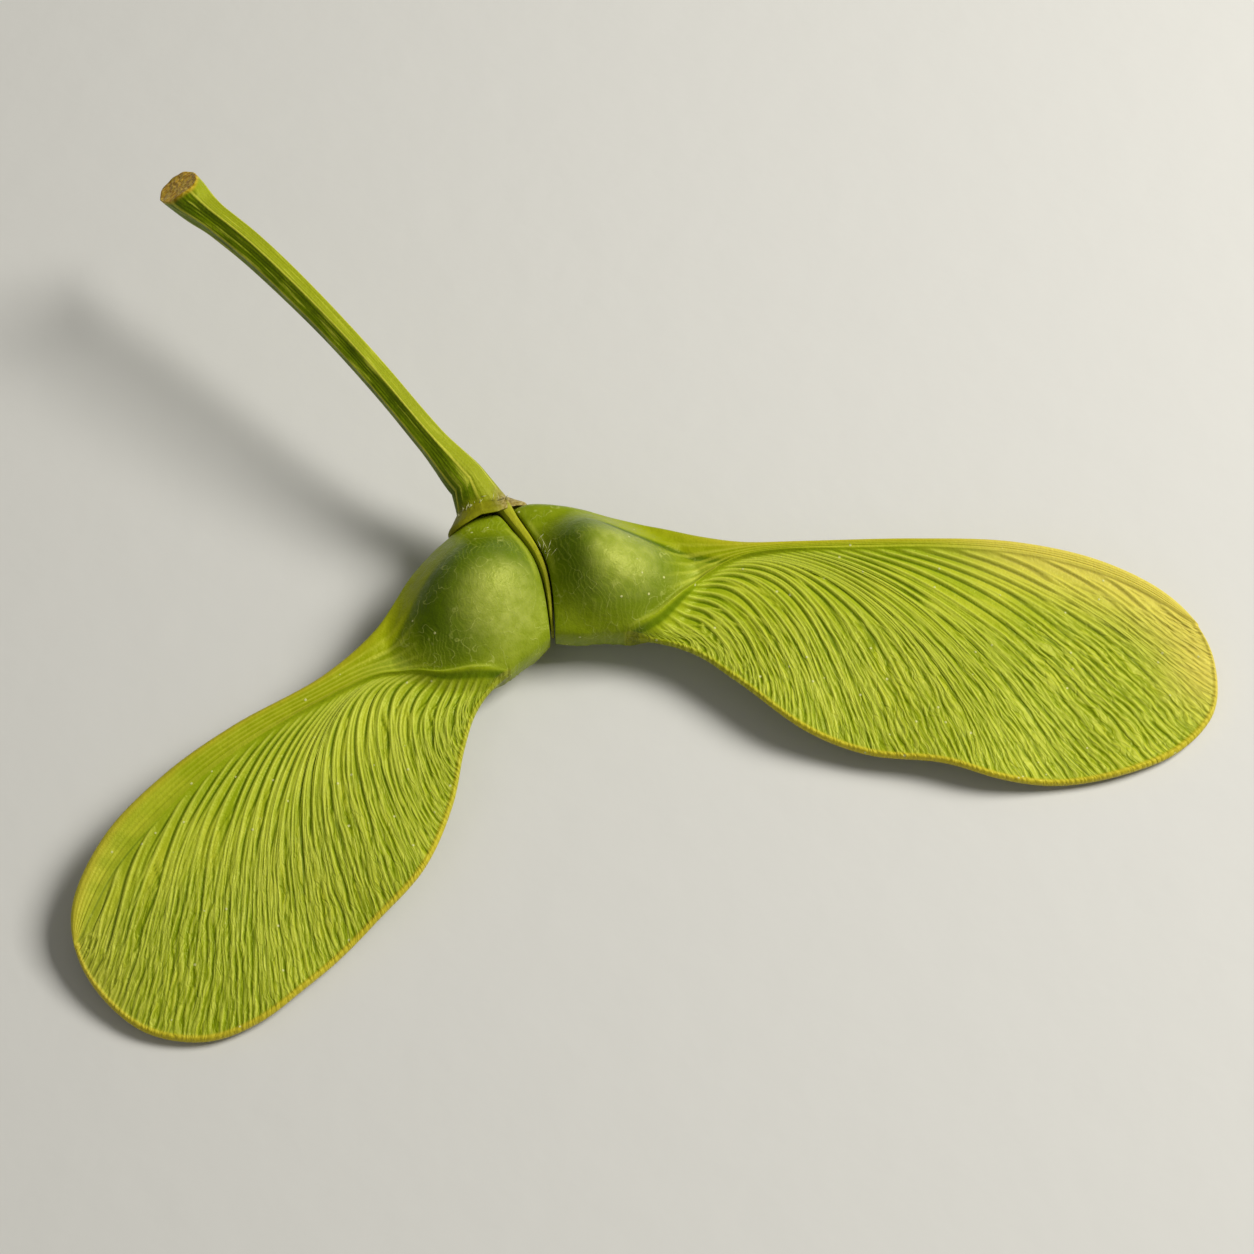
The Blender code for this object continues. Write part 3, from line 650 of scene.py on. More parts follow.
def build_samara(samara):
    """One samara as a closed mesh, laid over its solid."""
    body, q, blade, v, outline = plan_of(samara)
    nutlet_rows = len(NUTLET_ROWS) - 1
    ridges, furrows_and_shade = vein_map(blade, v, samara)
    chord = np.linalg.norm(blade[:, -1] - blade[:, 0], axis=1)[:, None]
    rooted = ease(chord, *BLADE_ROOTS) + 0 * v
    ridges *= ease(v * chord, *RIDGES_START)
    furrows_and_shade *= ease(v * chord, *FURROWS_START)
    relief = (VEIN_RISE * ridges - FURROW_DEPTH * furrows_and_shade) * (0.3 + 0.7 * rooted)
    relief *= 1 - 0.25 * ease(v, *OUTER_BLADE)
    from_margin = np.minimum((1 - v) * chord, np.linalg.norm(blade - blade[-1, -1], axis=-1))
    width = np.linalg.norm(body[:, -1] - body[:, 0], axis=1)[:, None]
    margin_run = np.linspace(0.0, 45.0, len(blade))[:, None] + 0 * v
    body_run = lengths_along(body[:, 0])[:, None] + 0 * q
    suture = SUTURE_RISE * ease(body[:, -1:, 0], *SUTURE_STARTS)
    suture *= 1 - 0.75 * ease(body[:, -1:, 0], *SUTURE_FADES)
    halves = {}
    for face, rise in (("above", NUTLET_RISE), ("below", UNDERSIDE_SHARE * NUTLET_RISE)):
        thick = body_half(body, q, outline, samara, rise)
        at_bundle = thick[nutlet_rows:, -1:]
        thin = blade_half(at_bundle, suture[nutlet_rows:], blade, v, relief, from_margin)
        thin[:, 0] = at_bundle[:, 0]
        thin[0, :] = thick[nutlet_rows, -1]
        thick[-1, :] = thin[-1, :] = BEAD_HALF
        halves[face] = thick, thin
    rim_line = (1 - ease(q * width, *RIM_LINE)) * ease(body[..., 0], 6.0, 14.0)
    dome = dome_of(body[..., 0], body[..., 1], samara)
    flange = ease(q, 0.35, 0.75) * (1 - ease(dome, 0.02, 0.25))
    flange *= ease(body[..., 0], *FLANGE_AT[0]) * (1 - ease(body[..., 0], *FLANGE_AT[1]))
    upper_seam = ease(body[..., 1], *PALE_SEAM[0]) * (1 - ease(body[..., 1], *PALE_SEAM[1]))
    seams = np.maximum(
        0.8 * bump_at(body[..., 0] - body[:1, :, 0], 0.25, 0.2) * upper_seam,
        0.9 * bump_at((1 - q) * width, 0.12, 0.16) * ease(body[..., 0], *SUTURE_STARTS),
    )
    own = {
        "body": {
            "vein": 0 * q,
            "furrow_and_shade": 0 * q,
            "outer": 0 * q,
            "cord": np.maximum(cords_on(body, q, width), seams),
            # The material paints this groove dark: painted shade in it.
            "groove": groove_on(body, q, width, samara),
            "flange": flange,
            "bead": 0.7 * rim_line,
            "foot": 0.7 * ease(q, 0.55, 1.0) * ease(body[..., 0], 6.0, 10.0),
            "strip": 1 - near_tip(body[..., 0], body[..., 1], samara),
        },
        "blade": {
            "vein": ridges * rooted,
            # Painted shade in each vein's furrow.
            "furrow_and_shade": furrows_and_shade * rooted,
            "outer": ease(v, *OUTER_BLADE),
            "cord": 0 * v,
            # On the blade this is no groove: a dark line painted as shade at the foot of the suture ridge.
            "groove": bump_at(v * chord, SUTURE_WIDTH * 1.5, SUTURE_WIDTH) * (1 - ease(chord, 6.0, 14.0)),
            "flange": 0 * v,
            "bead": (1 - ease(from_margin, 0.2, 0.42)) * (0.2 + 0.8 * ease(margin_run, *BEAD_PALES)),
            "foot": 1 - ease(v * chord, *FOOT_OF_BLADE),
            "strip": 0 * v,
        },
    }
    grids = (
        ("body", body, 0, np.stack([body_run, q * width], axis=-1)),
        ("blade", blade, 1, np.stack([margin_run, v * chord], axis=-1)),
    )
    sheets = []
    for name, plan, which, map_uv in grids:
        x, y = plan[..., 0], plan[..., 1]
        middle = middle_height(x, y, samara)
        high = (middle + halves["above"][which]) * MM
        low = np.maximum(middle - halves["below"][which], 0.0) * MM
        place = np.stack([samara["side"] * x + seam_bow(x, y) + SHIFT[0], y + SHIFT[1], 0 * x], axis=-1)
        husk = 1 - rooted
        if name == "body":
            husk = 1 - (1 - ease(q * width, *STRIP_ENDS)) * ease(body[..., 0], 3.0, 6.0)
        masks = masks_of(plan, samara, husk, high, low) | own[name]
        sheets.append(laid_grid(name, place * MM, map_uv, masks))
    select_only(*sheets)
    bpy.ops.object.join()
    piece = bpy.context.object
    piece.name = piece.data.name = samara["name"] + "_tissue"
    tidy_shell(piece, 1e-6)
    sheet_points = len(piece.data.vertices)
    solidify = piece.modifiers.new("second_face", "SOLIDIFY")
    solidify.thickness = 0.5 * MM
    bpy.ops.object.modifier_apply(modifier="second_face")
    mesh = piece.data
    count = len(mesh.vertices)
    assert count == 2 * sheet_points, (count, sheet_points)
    co = np.empty(count * 3)
    mesh.vertices.foreach_get("co", co)
    co = co.reshape(-1, 3)
    for face, half in (("above", slice(0, sheet_points)), ("below", slice(sheet_points, count))):
        values = np.empty(count)
        mesh.attributes[face].data.foreach_get("value", values)
        co[half, 2] = values[half]
    co[sheet_points:, :2] = co[:sheet_points, :2]
    mesh.vertices.foreach_set("co", co.ravel())
    for face in ("above", "below"):
        mesh.attributes.remove(mesh.attributes[face])
    tidy_shell(piece, 2e-7)
    return piece


samaras = {samara["name"]: build_samara(samara) for samara in (LEFT, RIGHT)}
for name, piece in samaras.items():
    piece.data.calc_loop_triangles()
    print(name, len(piece.data.loop_triangles), "triangles, size mm", [round(s / MM, 1) for s in piece.dimensions])

# %% [markdown]
# ## Fresh samara tissue
# Living maple tissue has a thin waxy skin, so it is softly glossy, with an IOR near 1.4, and light
# goes a little way into it. The blade is pale yellow-green with a lighter back on each vein and a dark
# foot beside it; that dark foot lies on the side away from the key lamp and is painted shade. An
# irregular net of finer veins, about a third of a millimetre by one, lies between. The dark green
# in the grooves by the leading strip and the suture is painted shade too. The husk is a deeper
# green, with fine pale threads and specks of dried sap on it, and a pale patch painted on each
# nutlet, where the lamp's sheen falls, is a painted highlight. The far wing is turning yellow at its
# tip. The tables below list the patterns, then how each is turned into a share from 0 to 1, and then
# the colours, one laid over the other.

# %% Tissue patterns
NET_CELL = (0.42, 1.5)
FINE_VEINS_APART = 0.44
STREAK = (1.3, 9.0)
tissue, tree = new_material("fresh_samara_tissue")
place = add(tree, "ShaderNodeTexCoord").outputs["Object"]
tissue_map = add(tree, "ShaderNodeUVMap", uv_map="tissue_map").outputs[0]
pattern = {}
for name in (
    "vein", "furrow_and_shade", "outer", "cord", "groove", "flange", "bead", "foot", "strip", "dome", "painted_highlight",
    "nutlet", "tip",
):
    pattern[name] = add(tree, "ShaderNodeAttribute", attribute_name=name).outputs["Fac"]
# Cells a metre: 3 mm patches, 0.7 mm mottling, 0.12 mm grain, and threads that wander over 1.4 mm.
for name, scale, detail in (("patches", 330, 3), ("mottle", 1500, 4), ("grain", 8000, 2), ("threads", 700, 2)):
    noise = add(tree, "ShaderNodeTexNoise", {"Vector": place, "Scale": float(scale), "Detail": float(detail)})
    pattern[name] = noise.outputs[0]
# Wrinkles like those of a fingerprint, a quarter of a millimetre apart.
wrinkles = add(
    tree,
    "ShaderNodeTexWave",
    {"Vector": place, "Scale": 1100.0, "Distortion": 20.0, "Detail": 2.0, "Detail Scale": 0.5},
)
pattern["wrinkles"] = wrinkles.outputs["Fac"]
warp = add(tree, "ShaderNodeTexNoise", {"Vector": tissue_map, "Scale": 1.1, "Detail": 1.0}).outputs["Color"]
bent = add(
    tree, "ShaderNodeVectorMath", {0: warp, 1: (0.9, 1.6, 0.0), 2: tissue_map}, operation="MULTIPLY_ADD"
).outputs[0]
net_map = add(
    tree,
    "ShaderNodeMapping",
    {"Vector": bent, "Scale": (1 / NET_CELL[0], 1 / NET_CELL[1], 1.0), "Rotation": (0.0, 0.0, 0.16)},
).outputs[0]
# The finest veins: a line each 0.44 mm of the margin, which sways as it runs in from there.
sway_map = add(tree, "ShaderNodeMapping", {"Vector": tissue_map, "Scale": (0.9, 0.32, 1.0)}).outputs[0]
sway = add(tree, "ShaderNodeTexNoise", {"Vector": sway_map, "Scale": 1.0, "Detail": 2.0}).outputs["Color"]
swayed = add(
    tree, "ShaderNodeVectorMath", {0: sway, 1: (1.5, 0.0, 0.0), 2: tissue_map}, operation="MULTIPLY_ADD"
).outputs[0]
fine = add(tree, "ShaderNodeTexWave", {"Vector": swayed, "Scale": math.pi / 10 / FINE_VEINS_APART})
pattern["fine"] = fine.outputs["Fac"]
net = add(tree, "ShaderNodeTexVoronoi", {"Vector": net_map, "Scale": 1.0}, feature="DISTANCE_TO_EDGE")
pattern["net"] = net.outputs["Distance"]
streak_map = add(
    tree, "ShaderNodeMapping", {"Vector": bent, "Scale": (1 / STREAK[0], 1 / STREAK[1], 1.0)}
).outputs[0]
streak = add(tree, "ShaderNodeTexNoise", {"Vector": streak_map, "Scale": 1.0, "Detail": 3.0})
pattern["streaks"] = streak.outputs[0]
# Specks of sap a tenth of a millimetre wide, about a millimetre apart.
specks = add(tree, "ShaderNodeTexVoronoi", {"Vector": place, "Scale": 950.0})
pattern["specks"] = specks.outputs["Distance"]
from_middle = add(tree, "ShaderNodeMath", {0: pattern["threads"], 1: 0.5}, operation="SUBTRACT").outputs[0]
pattern["from_thread"] = add(tree, "ShaderNodeMath", {0: from_middle}, operation="ABSOLUTE").outputs[0]

# %% Tissue shares
# For each share: its pattern, the values where it starts and is full, and how strong it gets.
SHARES = {
    "patch": ("patches", 0.36, 0.66, 1.0),
    "mottled": ("mottle", 0.25, 0.78, 1.0),
    "streaked": ("streaks", 0.42, 0.66, 0.55),
    "grained": ("grain", 0.3, 0.7, 1.0),
    "net_line": ("net", 0.16, 0.02, 0.8),
    "fine_dark": ("fine", 0.34, 0.06, 0.8),
    "fine_pale": ("fine", 0.55, 0.95, 0.6),
    "thread": ("from_thread", 0.012, 0.002, 0.6),
    "wrinkle": ("wrinkles", 0.65, 1.0, 0.36),
    "speck": ("specks", 0.085, 0.05, 0.9),
    "crest": ("vein", 0.3, 0.9, 0.7),
    # The dark line beside each vein: painted shade.
    "painted_furrow_shade": ("furrow_and_shade", 0.25, 0.8, 0.9),
    "cord_line": ("cord", 0.25, 0.9, 0.7),
    # Dark green in the grooves and beside the suture: painted shade.
    "groove_painted_shade": ("groove", 0.15, 0.9, 0.8),
    "near_bundle": ("foot", 0.1, 1.0, 0.6),
    "in_outer": ("outer", 0.0, 1.0, 1.0),
    "seed": ("dome", 0.0, 0.75, 0.95),
    # The pale patch on each nutlet is a painted highlight.
    "painted_highlight_layer": ("painted_highlight", 0.02, 0.98, 0.58),
    "pale_flange": ("flange", 0.0, 0.9, 0.8),
    "on_tip": ("tip", 0.0, 0.9, 0.78),
    "gloss": ("mottle", 0.3, 0.7, 1.0),
}
share = dict(pattern)
for name, (source, low, high, most) in SHARES.items():
    share[name] = add(
        tree,
        "ShaderNodeMapRange",
        {"Value": pattern[source], "From Min": low, "From Max": high, "To Max": most},
        interpolation_type="SMOOTHSTEP",
    ).outputs[0]
PRODUCTS = {
    "blade_net": ("net_line", "in_outer"),
    "between_veins": ("fine_dark", "in_outer"),
    "on_fine_vein": ("fine_pale", "in_outer"),
    "husk_wrinkle": ("wrinkle", "nutlet"),
    "broken_wrinkle": ("husk_wrinkle", "patch"),
    "husk_thread": ("thread", "nutlet"),
    "broken_thread": ("husk_thread", "mottled"),
    "dark_mottle": ("seed", "mottled"),
    # The painted highlight, broken up by the mottling.
    "broken_painted_highlight": ("painted_highlight_layer", "mottled"),
}
for name, (one, other) in PRODUCTS.items():
    share[name] = add(tree, "ShaderNodeMath", {0: share[one], 1: share[other]}, operation="MULTIPLY").outputs[0]

# %% Tissue colours and skin
# Each tissue is its ground colour, with these laid over it in turn.
TISSUES = {
    "leaf": ("B5BC2A", (
        ("patch", "A2B01A"), ("streaked", "8BA10A"), ("near_bundle", "869A06"), ("blade_net", "8A9A0C"),
        # The dark green beside each vein and beside the suture is painted shade.
        ("on_fine_vein", "C4CA4C"), ("between_veins", "7A8C08"), ("crest", "C2CA48"), ("painted_furrow_shade", "5E7600"),
        ("groove_painted_shade", "587200"),
    )),
    # The dark green along the groove is painted shade.
    "strip": ("909C06", (("mottled", "9EA810"), ("groove_painted_shade", "4C6800"), ("cord_line", "B8BC34"))),
    "husk": ("788A08", (
        ("mottled", "869614"), ("pale_flange", "94A638"), ("seed", "566F02"), ("dark_mottle", "4A6200"),
        # The pale patch near each nutlet's top is a painted highlight, and the darkest green along the groove is
        # painted shade.
        ("painted_highlight_layer", "AEB846"), ("broken_painted_highlight", "C0C860"), ("groove_painted_shade", "3E5A00"), ("broken_wrinkle", "98A634"),
        ("broken_thread", "BCC462"), ("cord_line", "AEB83A"),
    )),
}
ready = {}
for tissue_name, (ground, layers) in TISSUES.items():
    over_all = colour(ground)
    for name, over in layers:
        over_all = add(
            tree, "ShaderNodeMix", {0: share[name], 6: over_all, 7: colour(over)}, data_type="RGBA"
        ).outputs[2]
    ready[tissue_name] = over_all
skin_colour = ready["leaf"]
for name, over in (
    ("strip", ready["strip"]), ("nutlet", ready["husk"]), ("bead", colour("C4B62C")),
    ("on_tip", colour("DECB5C")), ("speck", colour("CFD08A")),
):
    skin_colour = add(
        tree, "ShaderNodeMix", {0: share[name], 6: skin_colour, 7: over}, data_type="RGBA"
    ).outputs[2]

# Heights of the fine relief, as shares of the bump's 0.08 mm.
relief = 0.0
for name, height in (
    ("blade_net", -0.6), ("on_fine_vein", 0.5), ("between_veins", -0.7), ("mottled", 0.45),
    ("grained", 0.16), ("broken_wrinkle", 0.25), ("broken_thread", 0.4), ("speck", 0.4),
):
    relief = add(
        tree, "ShaderNodeMath", {0: share[name], 1: height, 2: relief}, operation="MULTIPLY_ADD"
    ).outputs[0]
bump = add(tree, "ShaderNodeBump", {"Height": relief, "Strength": 0.55, "Distance": 0.00008}).outputs[0]
shine = add(tree, "ShaderNodeMapRange", {"Value": share["gloss"], "To Min": 0.30, "To Max": 0.44}).outputs[0]
skin = add(
    tree,
    "ShaderNodeBsdfPrincipled",
    {
        "Base Color": skin_colour,
        "Roughness": shine,
        "Normal": bump,
        "IOR": 1.42,
        "Specular IOR Level": 0.38,
        "Specular Tint": colour("F0EE88"),
        "Subsurface Weight": 0.1,
        "Subsurface Radius": (0.8, 1.0, 0.1),
        "Subsurface Scale": 0.0004,
    },
)
add(tree, "ShaderNodeOutputMaterial", {"Surface": skin.outputs[0]})
for name, piece in samaras.items():
    piece.data.materials.clear()
    piece.data.materials.append(tissue)
    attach(piece, "root")
    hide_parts(name)
print("tissue nodes:", len(tree.nodes))

# %% [markdown]
# ## The stalk
# The stalk is a rod with six sharp ribs and hollow flutes between them. It was torn off its twig
# aslant, and its foot widens into a receptacle that saddles both nutlets, and sends a thin keel down
# between them. One grid is rolled into a tube along it: the first rows close the torn end, and the
# last ones close the keel's tip.

# %% The stalk's rings
STALK_PATH = (
    (-11.1, 24.7, 9.6), (-10.3, 23.0, 9.4), (-8.3, 19.3, 9.0), (-6.0, 14.2, 8.2),
    (-4.2, 9.7, 7.3), (-2.6, 5.6, 6.0), (-1.35, 2.9, 4.75),
)
STALK_SIDES = 144
SHAFT_RINGS = 190
STALK_RIBS, RIB_AT, RIB_RISE, RIBS_START = 6, math.radians(82.5), 0.09, 0.1
STALK_HALF = 0.86
WAIST, WAIST_STARTS, WAIST_ENDS = 0.10, (0.2, 0.6), (0.75, 1.0)
CUT_HALF, CUT_FLARE_ENDS, CUT_LEAN, CUT_LEAN_ENDS = 1.25, 0.14, (0.25, 1.15), 0.1
FOOT_STARTS, FOOT_HALF_WIDTH, FOOT_HALF_HEIGHT = 0.87, 1.15, 1.1
RECEPTACLE_MIDDLE = (-0.95, 3.7)
RECEPTACLE_HALF_WIDTH, RECEPTACLE_HALF_HEIGHT = 2.45, 1.5
RECEPTACLE_RINGS = ((0.62, 0.82, 1.0), (0.83, 0.93, 0.55), (0.98, 1.0, 0.25), (0.96, 0.95, 0.0))
RECEPTACLE_GAP, RECEPTACLE_WRAP = 0.10, 0.5
RECEPTACLE_SCAR, RECEPTACLE_SCAR_DROP = (-0.5, 1.3), 0.42
KEEL_HALF_WIDTH, KEEL_HALF_HEIGHT, KEEL_DROOP, KEEL_OFFSET = 0.28, 1.95, 0.13, 0.02
KEEL_RINGS = (
    (1.1, 1.6, 0.56), (-0.2, 1.22, 0.60), (-1.5, 1.03, 0.62), (-2.6, 0.90, 0.70),
    (-3.7, 0.76, 0.75), (-4.9, 0.6, 0.62), (-6.9, 0.3, 0.28),
)
CUT_SHARES = (0.0, 0.1, 0.2, 0.3, 0.4, 0.5, 0.6, 0.7, 0.79, 0.87, 0.94)
CUT_SUNK, CUT_ROUGH = 0.07, 0.035
angles = RIB_AT + np.linspace(0.0, 2 * math.pi, STALK_SIDES + 1)


def rough_ring(chance, waves):
    """An uneven height round a ring, smooth from point to point, that meets itself."""
    total = 0 * angles
    for wave in range(2, waves):
        total += chance.normal() / wave**0.5 * np.cos(wave * angles + chance.uniform(0, 6.28))
    return total


def shaft_rings():
    """Rings of points from the torn end down the ribbed shaft to its foot."""
    path = smooth_curve(STALK_PATH)
    shares = np.linspace(0.0, 1.0, SHAFT_RINGS)
    centres = points_at(path, shares * lengths_along(path)[-1])
    forward = unit(np.gradient(centres, axis=0))
    sideways = unit(np.cross(forward, (0.0, 0.0, 1.0)))
    upwards = np.cross(sideways, forward)
    chance = np.random.default_rng(3)
    jagged = CUT_ROUGH * rough_ring(chance, 12)
    rings = []
    for share, centre, f, s, u in zip(shares, centres, forward, sideways, upwards):
        flare = (CUT_HALF - STALK_HALF) * (1 - ease(share, 0.0, CUT_FLARE_ENDS))
        waist = 1 - WAIST * ease(share, *WAIST_STARTS) * (1 - ease(share, *WAIST_ENDS))
        shaft = (STALK_HALF + flare) * waist
        foot = ease(share, FOOT_STARTS, 1.0)
        wide = shaft + (FOOT_HALF_WIDTH - STALK_HALF) * foot
        high = shaft + (FOOT_HALF_HEIGHT - STALK_HALF) * foot
        flutes = np.sqrt(np.sin(STALK_RIBS / 2 * (angles - RIB_AT)) ** 2 + 0.003)
        ribs = 1 + RIB_RISE * (1 - 2 * flutes) * (1 - foot) * ease(share, 0.0, RIBS_START)
        ribs += 0.010 * np.cos(31 * angles + 1.5 * np.sin(9 * share)) * ease(share, 0.0, 0.04)
        across = (wide * ribs * np.cos(angles))[:, None] * s
        above = (high * ribs * np.sin(angles))[:, None] * u
        lean = CUT_LEAN[0] * np.cos(angles) + CUT_LEAN[1] * np.sin(angles) + jagged
        lean *= 1 - ease(share, 0.0, CUT_LEAN_ENDS)
        rings.append(centre + across + above + lean[:, None] * f)
    torn = []
    middle = rings[0][:-1].mean(axis=0)
    for share in CUT_SHARES:
        uneven = CUT_ROUGH * rough_ring(chance, 16) * min(share * 2, 1)
        sunk = CUT_SUNK * (1 - share**6) + uneven
        torn.append(middle + (rings[0] - middle) * share + sunk[:, None] * forward[0])
    return torn + rings


def nutlet_shoulder(x):
    """Y of the nutlets' upper outline, from the left one across to the right one."""
    points = [(-a, b) for a, b in reversed(LEFT["leading"][:5])] + list(RIGHT["leading"][:5])
    return np.interp(x, *zip(*points))


def collar_rings():
    """The collar that saddles the nutlets' shoulders."""
    rings = []
    for wide, high, lift in RECEPTACLE_RINGS:
        x = RECEPTACLE_MIDDLE[0] - wide * RECEPTACLE_HALF_WIDTH * np.cos(angles)
        scar = ease(x, *RECEPTACLE_SCAR)
        tall = high * RECEPTACLE_HALF_HEIGHT * (1 - RECEPTACLE_SCAR_DROP * scar)
        z = RECEPTACLE_MIDDLE[1] + tall * np.sin(angles)
        wrap = RECEPTACLE_WRAP * (1 - scar) * np.sin(angles) ** 2
        y = nutlet_shoulder(x) + RECEPTACLE_GAP + lift - wrap
        rings.append(np.stack([x, y, z], axis=1))
    return rings


def squared(values):
    """Cosines or sines that carry a ring out into the corners, so that it is nearly a rectangle."""
    return np.sign(values) * np.sqrt(np.abs(values))


def keel_rings():
    """The thin flat-topped keel that runs down the seam from the collar."""
    rings = []
    for y, wide, high in KEEL_RINGS:
        x = seam_bow(0.0, y) + KEEL_OFFSET - wide * KEEL_HALF_WIDTH * squared(np.cos(angles))
        z = SEAM_HEIGHT + KEEL_DROOP * y + high * KEEL_HALF_HEIGHT * squared(np.sin(angles))
        rings.append(np.stack([x, np.full_like(x, y), z], axis=1))
    return rings


def smoothed(rings, steps):
    """Rings on smooth curves through these ones, with so many steps between each two."""
    stack = np.array(rings)
    slopes = np.gradient(stack, axis=0)
    between = []
    for k, count in enumerate(steps):
        for t in np.arange(1, count + 1) / count:
            between.append(
                (2 * t**3 - 3 * t**2 + 1) * stack[k]
                + (t**3 - 2 * t**2 + t) * slopes[k]
                + (3 * t**2 - 2 * t**3) * stack[k + 1]
                + (t**3 - t**2) * slopes[k + 1]
            )
    return between


shaft = shaft_rings()
collar = collar_rings()
keel = keel_rings()
foot = [shaft[-1] + (collar[0] - shaft[-1]) * k / 10 for k in range(1, 11)]
rings = shaft + foot + smoothed(collar, (6, 5, 5))
rings += [collar[-1] + (keel[0] - collar[-1]) * k / 6 for k in range(1, 7)]
rings += smoothed(keel, (8, 7, 6, 6, 6, 8))
tip_middle = rings[-1][:-1].mean(axis=0)
rings += [tip_middle + (keel[-1] - tip_middle) * share for share in (0.6, 0.2, 0.0)]
rings = np.array(rings)
print("stalk rings:", rings.shape)

# %% Rolling the grid along the stalk
row = np.arange(len(rings))[:, None] + 0 * angles
down_stalk = np.concatenate([[0.0], np.cumsum(np.linalg.norm(np.diff(rings.mean(axis=1), axis=0), axis=1))])
cut_ends = len(CUT_SHARES)
x, y, z = (rings[..., k] for k in range(3))
in_collar = ease(row, len(shaft) + 2, len(shaft) + 14)
in_keel = ease(row, len(shaft) + 30, len(shaft) + 36)
stalk_masks = {
    "cut": 1 - ease(row, cut_ends - 1.0, cut_ends + 3.0),
    "collar": in_collar * (1 - in_keel),
    "keel": in_keel,
    "scar": in_collar * (1 - in_keel) * ease(x, -0.7, 0.3) * ease(z, 2.9, 4.0),
    # Painted light: the side of the stalk towards the key lamp is painted paler.
    "painted_lit_side": ease(np.cos(angles - RIB_AT - math.radians(62)), 0.25, 0.75)[None] * (1 - in_collar),
    "crest": (1 - ease(np.abs(np.sin(STALK_RIBS / 2 * (angles - RIB_AT))), 0.06, 0.30))[None] * (1 - in_collar),
}
stalk_uv = np.stack([(angles[None] - RIB_AT) / (2 * math.pi) + 0 * row, down_stalk[:, None] + 0 * angles], axis=-1)
stalk = laid_grid("stalk_tissue", (rings + np.array([*SHIFT, 0.0])) * MM, stalk_uv, stalk_masks)
tidy_shell(stalk, 1e-6)
stalk.data.calc_loop_triangles()
print("stalk:", len(stalk.data.loop_triangles), "triangles, size mm", [round(s / MM, 1) for s in stalk.dimensions])

# %% [markdown]
# ## Stalk tissue
# The stalk's skin is the same living tissue, pale yellow along its ribs and darker green in the
# flutes between them. Its side towards the key lamp is painted paler over a dark ground: painted
# light and shade. Its torn end has dried to a tan, fibrous face, and a brown scar is left on the
# receptacle where the flower's parts fell away.

# %% Stalk material
pedicel, tree = new_material("fresh_stalk_tissue")
place = add(tree, "ShaderNodeTexCoord").outputs["Object"]
round_map = add(tree, "ShaderNodeUVMap", uv_map="tissue_map").outputs[0]
# Streaks a sixth of a millimetre wide and 3 mm long.
streak_map = add(tree, "ShaderNodeMapping", {"Vector": round_map, "Scale": (34.0, 0.35, 1.0)}).outputs[0]
pattern = {}
for name in ("cut", "collar", "keel", "scar", "crest", "painted_lit_side"):
    pattern[name] = add(tree, "ShaderNodeAttribute", attribute_name=name).outputs["Fac"]
for name, source, scale, detail in (
    ("streaks", streak_map, 1.0, 4.0), ("patches", place, 700.0, 3.0), ("grain", place, 5000.0, 3.0)
):
    noise = add(tree, "ShaderNodeTexNoise", {"Vector": source, "Scale": scale, "Detail": detail})
    pattern[name] = noise.outputs[0]
SHARES = {
    "streak": ("streaks", 0.40, 0.60, 1.0),
    "pale_streak": ("streaks", 0.56, 0.68, 0.75),
    "patch": ("patches", 0.42, 0.70, 0.7),
    "painted_lit_side_layer": ("painted_lit_side", 0.0, 1.0, 0.72),
    # The paler side towards the key lamp: painted light.
    "rib": ("crest", 0.0, 1.0, 0.62),
    "grained": ("grain", 0.35, 0.65, 1.0),
    "on_collar": ("collar", 0.0, 1.0, 0.7),
    "on_keel": ("keel", 0.0, 1.0, 0.8),
}
share = dict(pattern)
for name, (source, low, high, most) in SHARES.items():
    share[name] = add(
        tree,
        "ShaderNodeMapRange",
        {"Value": pattern[source], "From Min": low, "From Max": high, "To Max": most},
        interpolation_type="SMOOTHSTEP",
    ).outputs[0]
scar = add(
    tree, "ShaderNodeMix", {0: share["grained"], 6: colour("7E6C2C"), 7: colour("B2A266")}, data_type="RGBA"
).outputs[2]
torn = add(
    tree, "ShaderNodeMix", {0: share["grained"], 6: colour("C08A0C"), 7: colour("F4CE48")}, data_type="RGBA"
).outputs[2]
# The dark ground stands for the side away from the key lamp: painted shade.
rod = colour("5C7200")
LAYERS = (
    # The layer that lightens the lamp side is painted light.
    ("streak", colour("788C04")), ("patch", colour("4A6000")), ("painted_lit_side_layer", colour("A2A81E")),
    ("pale_streak", colour("BCC03C")),
    ("rib", colour("D2CE48")), ("on_collar", colour("948E18")), ("on_keel", colour("B4B228")),
    ("scar", scar), ("cut", torn),
)
for name, over in LAYERS:
    rod = add(tree, "ShaderNodeMix", {0: share[name], 6: rod, 7: over}, data_type="RGBA").outputs[2]
relief = add(
    tree, "ShaderNodeMath", {0: share["grained"], 1: 0.3, 2: pattern["streaks"]}, operation="MULTIPLY_ADD"
).outputs[0]
bump = add(tree, "ShaderNodeBump", {"Height": relief, "Strength": 0.4, "Distance": 0.0001}).outputs[0]
shine = add(tree, "ShaderNodeMapRange", {"Value": pattern["patches"], "To Min": 0.36, "To Max": 0.60}).outputs[0]
skin = add(
    tree,
    "ShaderNodeBsdfPrincipled",
    {
        "Base Color": rod,
        "Roughness": shine,
        "Normal": bump,
        "IOR": 1.42,
        "Specular IOR Level": 0.38,
        "Specular Tint": colour("F0EE88"),
        "Subsurface Weight": 0.1,
        "Subsurface Radius": (0.8, 1.0, 0.1),
        "Subsurface Scale": 0.0004,
    },
)
add(tree, "ShaderNodeOutputMaterial", {"Surface": skin.outputs[0]})
stalk.data.materials.clear()
stalk.data.materials.append(pedicel)
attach(stalk, "root")
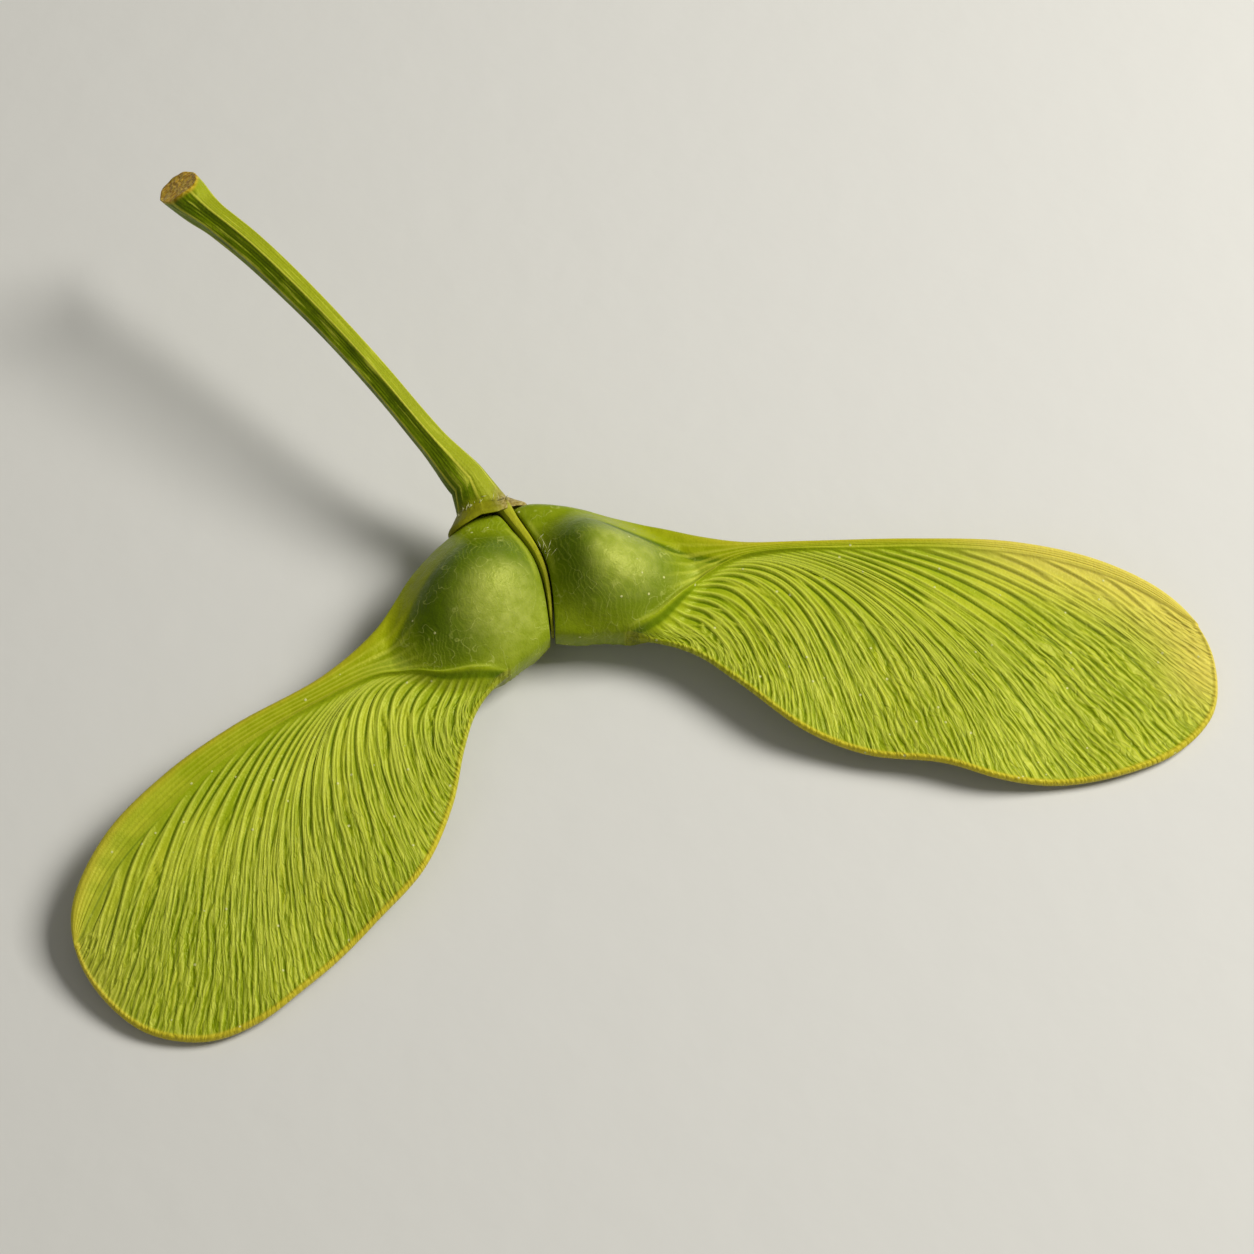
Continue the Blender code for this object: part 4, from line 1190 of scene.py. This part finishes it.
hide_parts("stalk")

# %% [markdown]
# ## Hairs
# A few pale hairs, half a millimetre long and finer than a human hair, stand on the seam and round
# the receptacle. Each is a thin cone of five sides, too few to need more. They are drawn 0.04 mm
# thick, about twice the real width, so that they show. A ray cast down onto the tissue finds where
# each root sits.

# %% Hairs on the seam and the receptacle
HAIR_HALF = 0.026
# Where the hairs stand, in plan: the two ends of a line, how many, where they lean, and how long
# they are.
HAIR_LINES = (
    ("samara_right", (0.95, -1.9), (1.25, -3.6), 16, (1.0, 0.1, 0.55), (0.4, 0.9)),
    ("stalk", (-2.6, 1.15), (-0.9, 1.45), 14, (1.0, 0.35, 0.05), (0.15, 0.35)),
    ("stalk", (-0.4, 1.2), (0.3, 1.1), 4, (0.6, -0.2, 0.8), (0.4, 0.8)),
)
chance = np.random.default_rng(21)
tissues = {**samaras, "stalk": stalk}
hairs = []
for name, start, end, count, lean, lengths in HAIR_LINES:
    for _ in range(count):
        spot = np.array(start) + (np.array(end) - start) * chance.random() + chance.normal(0, 0.12, 2)
        high_above = Vector((*((spot + SHIFT) * MM), 0.02))
        found, root, normal, _ = tissues[name].ray_cast(high_above, Vector((0, 0, -1)))
        if not found:
            continue
        direction = (Vector(lean) + Vector(chance.normal(0, 0.35, 3)) + normal).normalized()
        length = chance.uniform(*lengths) * MM
        bpy.ops.object.select_all(action="DESELECT")
        bpy.ops.mesh.primitive_cone_add(
            vertices=5,
            radius1=HAIR_HALF * MM,
            radius2=0.0,
            depth=length,
            location=root + direction * length * 0.47,
            rotation=direction.to_track_quat("Z", "Y").to_euler(),
        )
        hairs.append(bpy.context.object)
select_only(*hairs)
bpy.ops.object.join()
down = bpy.context.object
down.name = down.data.name = "fine_hairs"
bpy.ops.object.transform_apply(location=True, rotation=True, scale=True)
bpy.ops.object.shade_smooth()
hair_wall, tree = new_material("plant_hair")
# A dry, nearly clear cell wall: it reads as a pale thread with a soft shine.
strand = add(
    tree,
    "ShaderNodeBsdfPrincipled",
    {"Base Color": colour("D6D49A"), "Roughness": 0.45, "IOR": 1.5, "Subsurface Weight": 0.1},
)
add(tree, "ShaderNodeOutputMaterial", {"Surface": strand.outputs[0]})
down.data.materials.clear()
down.data.materials.append(hair_wall)
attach(down, "root")
print("hairs:", len(hairs))
